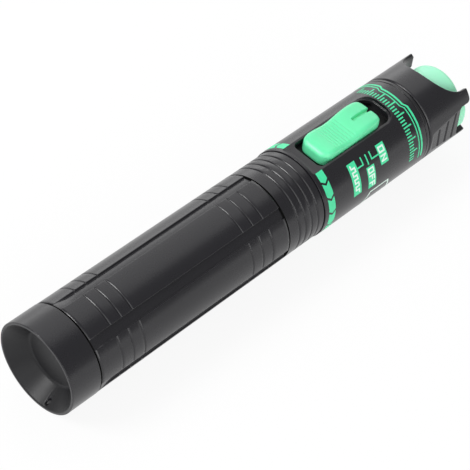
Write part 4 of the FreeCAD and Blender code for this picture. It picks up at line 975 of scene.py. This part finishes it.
def make_plate_outline():
    """A blank four-sided frame low on the side, wider towards the underside."""
    x0, x1, top, low, wide, line, deep = KNOB_REAR + 14.9, KNOB_REAR + 23.6, 92.0, 118.0, 2.2, 0.55, 2.3
    sides = [
        [(x0, top), (x0, top + deep), (x1, top + deep), (x1, top)],
        [(x0 - wide, low - deep), (x0 - wide, low), (x1 + wide, low), (x1 + wide, low - deep)],
        [(x0, top), (x0 - wide, low), (x0 - wide + line, low), (x0 + line, top)],
        [(x1, top), (x1 + wide, low), (x1 + wide - line, low), (x1 - line, top)],
    ]
    printed("plate_outline", sides, print_pale)


make_chevrons()
make_switch_marks()
make_front_band()
make_plate_outline()

# ---- stage -----------------------------------------------
# Each soft light: its name, place, width, height and power, in metres and watts.
LIGHTS = [
    ("high", (0.75, 0.62, 1.0), 1.5, 1.5, 7.0), ("tail", (-0.95, 0.58, 1.0), 0.55, 0.55, 14.5),
    ("near_fill", (-0.4, -1.2, 0.5), 0.8, 0.8, 6.2), ("ring_fill", (-0.95, -0.62, 0.85), 0.9, 0.9, 4.0),
    ("far_side", (0.62, 1.0, 0.2), 1.8, 0.4, 4.0), ("near_side", (0.62, -1.0, 0.08), 1.8, 0.16, 0.9),
]
AIM = Vector((0, 0, 0.01))
FLOOR_REACH, ROOM_LEVEL, FLOOR_GLOW = 6.0, 0.33, 0.9
EYE = (-0.291165, -0.20608, 0.40490)
RIGHT, UP = (0.6925, -0.7104, 0.1251), (0.481, 0.584, 0.6535)


def make_floor():
    """A wide pale floor under the pen. Seen straight, in a gloss or through glass it is nine
    tenths white glow and one tenth paper, which keeps a little of the pen's shadow."""
    mesh = bpy.data.meshes.new("floor")
    z, reach = cad_low.z, FLOOR_REACH
    corners = [(-reach, -reach, z), (reach, -reach, z), (reach, reach, z), (-reach, reach, z)]
    mesh.from_pydata(corners, [], [(0, 1, 2, 3)])
    floor = bpy.data.objects.new("floor", mesh)
    bpy.context.collection.objects.link(floor)
    paper = Finish("paper_white", (0.88, 0.88, 0.88), 0.9, **shine(0.0))
    rays = ("Is Camera Ray", "Is Glossy Ray", "Is Transmission Ray")
    camera, glossy, through = (paper.node("ShaderNodeLightPath", output=ray) for ray in rays)
    glow = paper.node("ShaderNodeEmission", inputs={"Color": (1, 1, 1, 1), "Strength": 1.0})
    seen = (camera + glossy + through) * FLOOR_GLOW
    blend = paper.node("ShaderNodeMixShader", inputs={0: seen, 2: glow})
    paper.tree.links.new(paper.shader.outputs[0], blend.socket.node.inputs[1])
    paper.tree.links.new(blend.socket, paper.tree.nodes["Material Output"].inputs["Surface"])
    mesh.materials.append(paper.material)


def make_lights():
    """An even pale room, and the soft lights, each turned to face the pen."""
    world = bpy.data.worlds.new("pale_room")
    bpy.context.scene.world = world
    world.use_nodes = True
    world.node_tree.nodes["Background"].inputs["Color"].default_value = (1, 1, 1, 1)
    world.node_tree.nodes["Background"].inputs["Strength"].default_value = ROOM_LEVEL
    for name, place, wide, tall, power in LIGHTS:
        light = bpy.data.lights.new(name, "AREA")
        light.shape, light.size, light.size_y, light.energy = "RECTANGLE", wide, tall, power
        lamp = bpy.data.objects.new(name, light)
        bpy.context.collection.objects.link(lamp)
        lamp.location = place
        lamp.rotation_euler = (AIM - Vector(place)).to_track_quat("-Z", "Y").to_euler()


def make_camera():
    """A long lens looking down on the pen from behind its tail and its -Y side."""
    lens = bpy.data.cameras.new("view")
    lens.lens, lens.sensor_width, lens.clip_end = 135.2, 36, 50
    camera = bpy.data.objects.new("view", lens)
    bpy.context.collection.objects.link(camera)
    right = Vector(RIGHT).normalized()
    back = right.cross(Vector(UP).normalized()).normalized()
    facing = Matrix((right, back.cross(right), back)).transposed().to_4x4()
    camera.matrix_world = Matrix.Translation(EYE) @ facing
    bpy.context.scene.camera = camera


make_floor()
make_lights()
make_camera()
bpy.context.scene.view_settings.view_transform = "Standard"
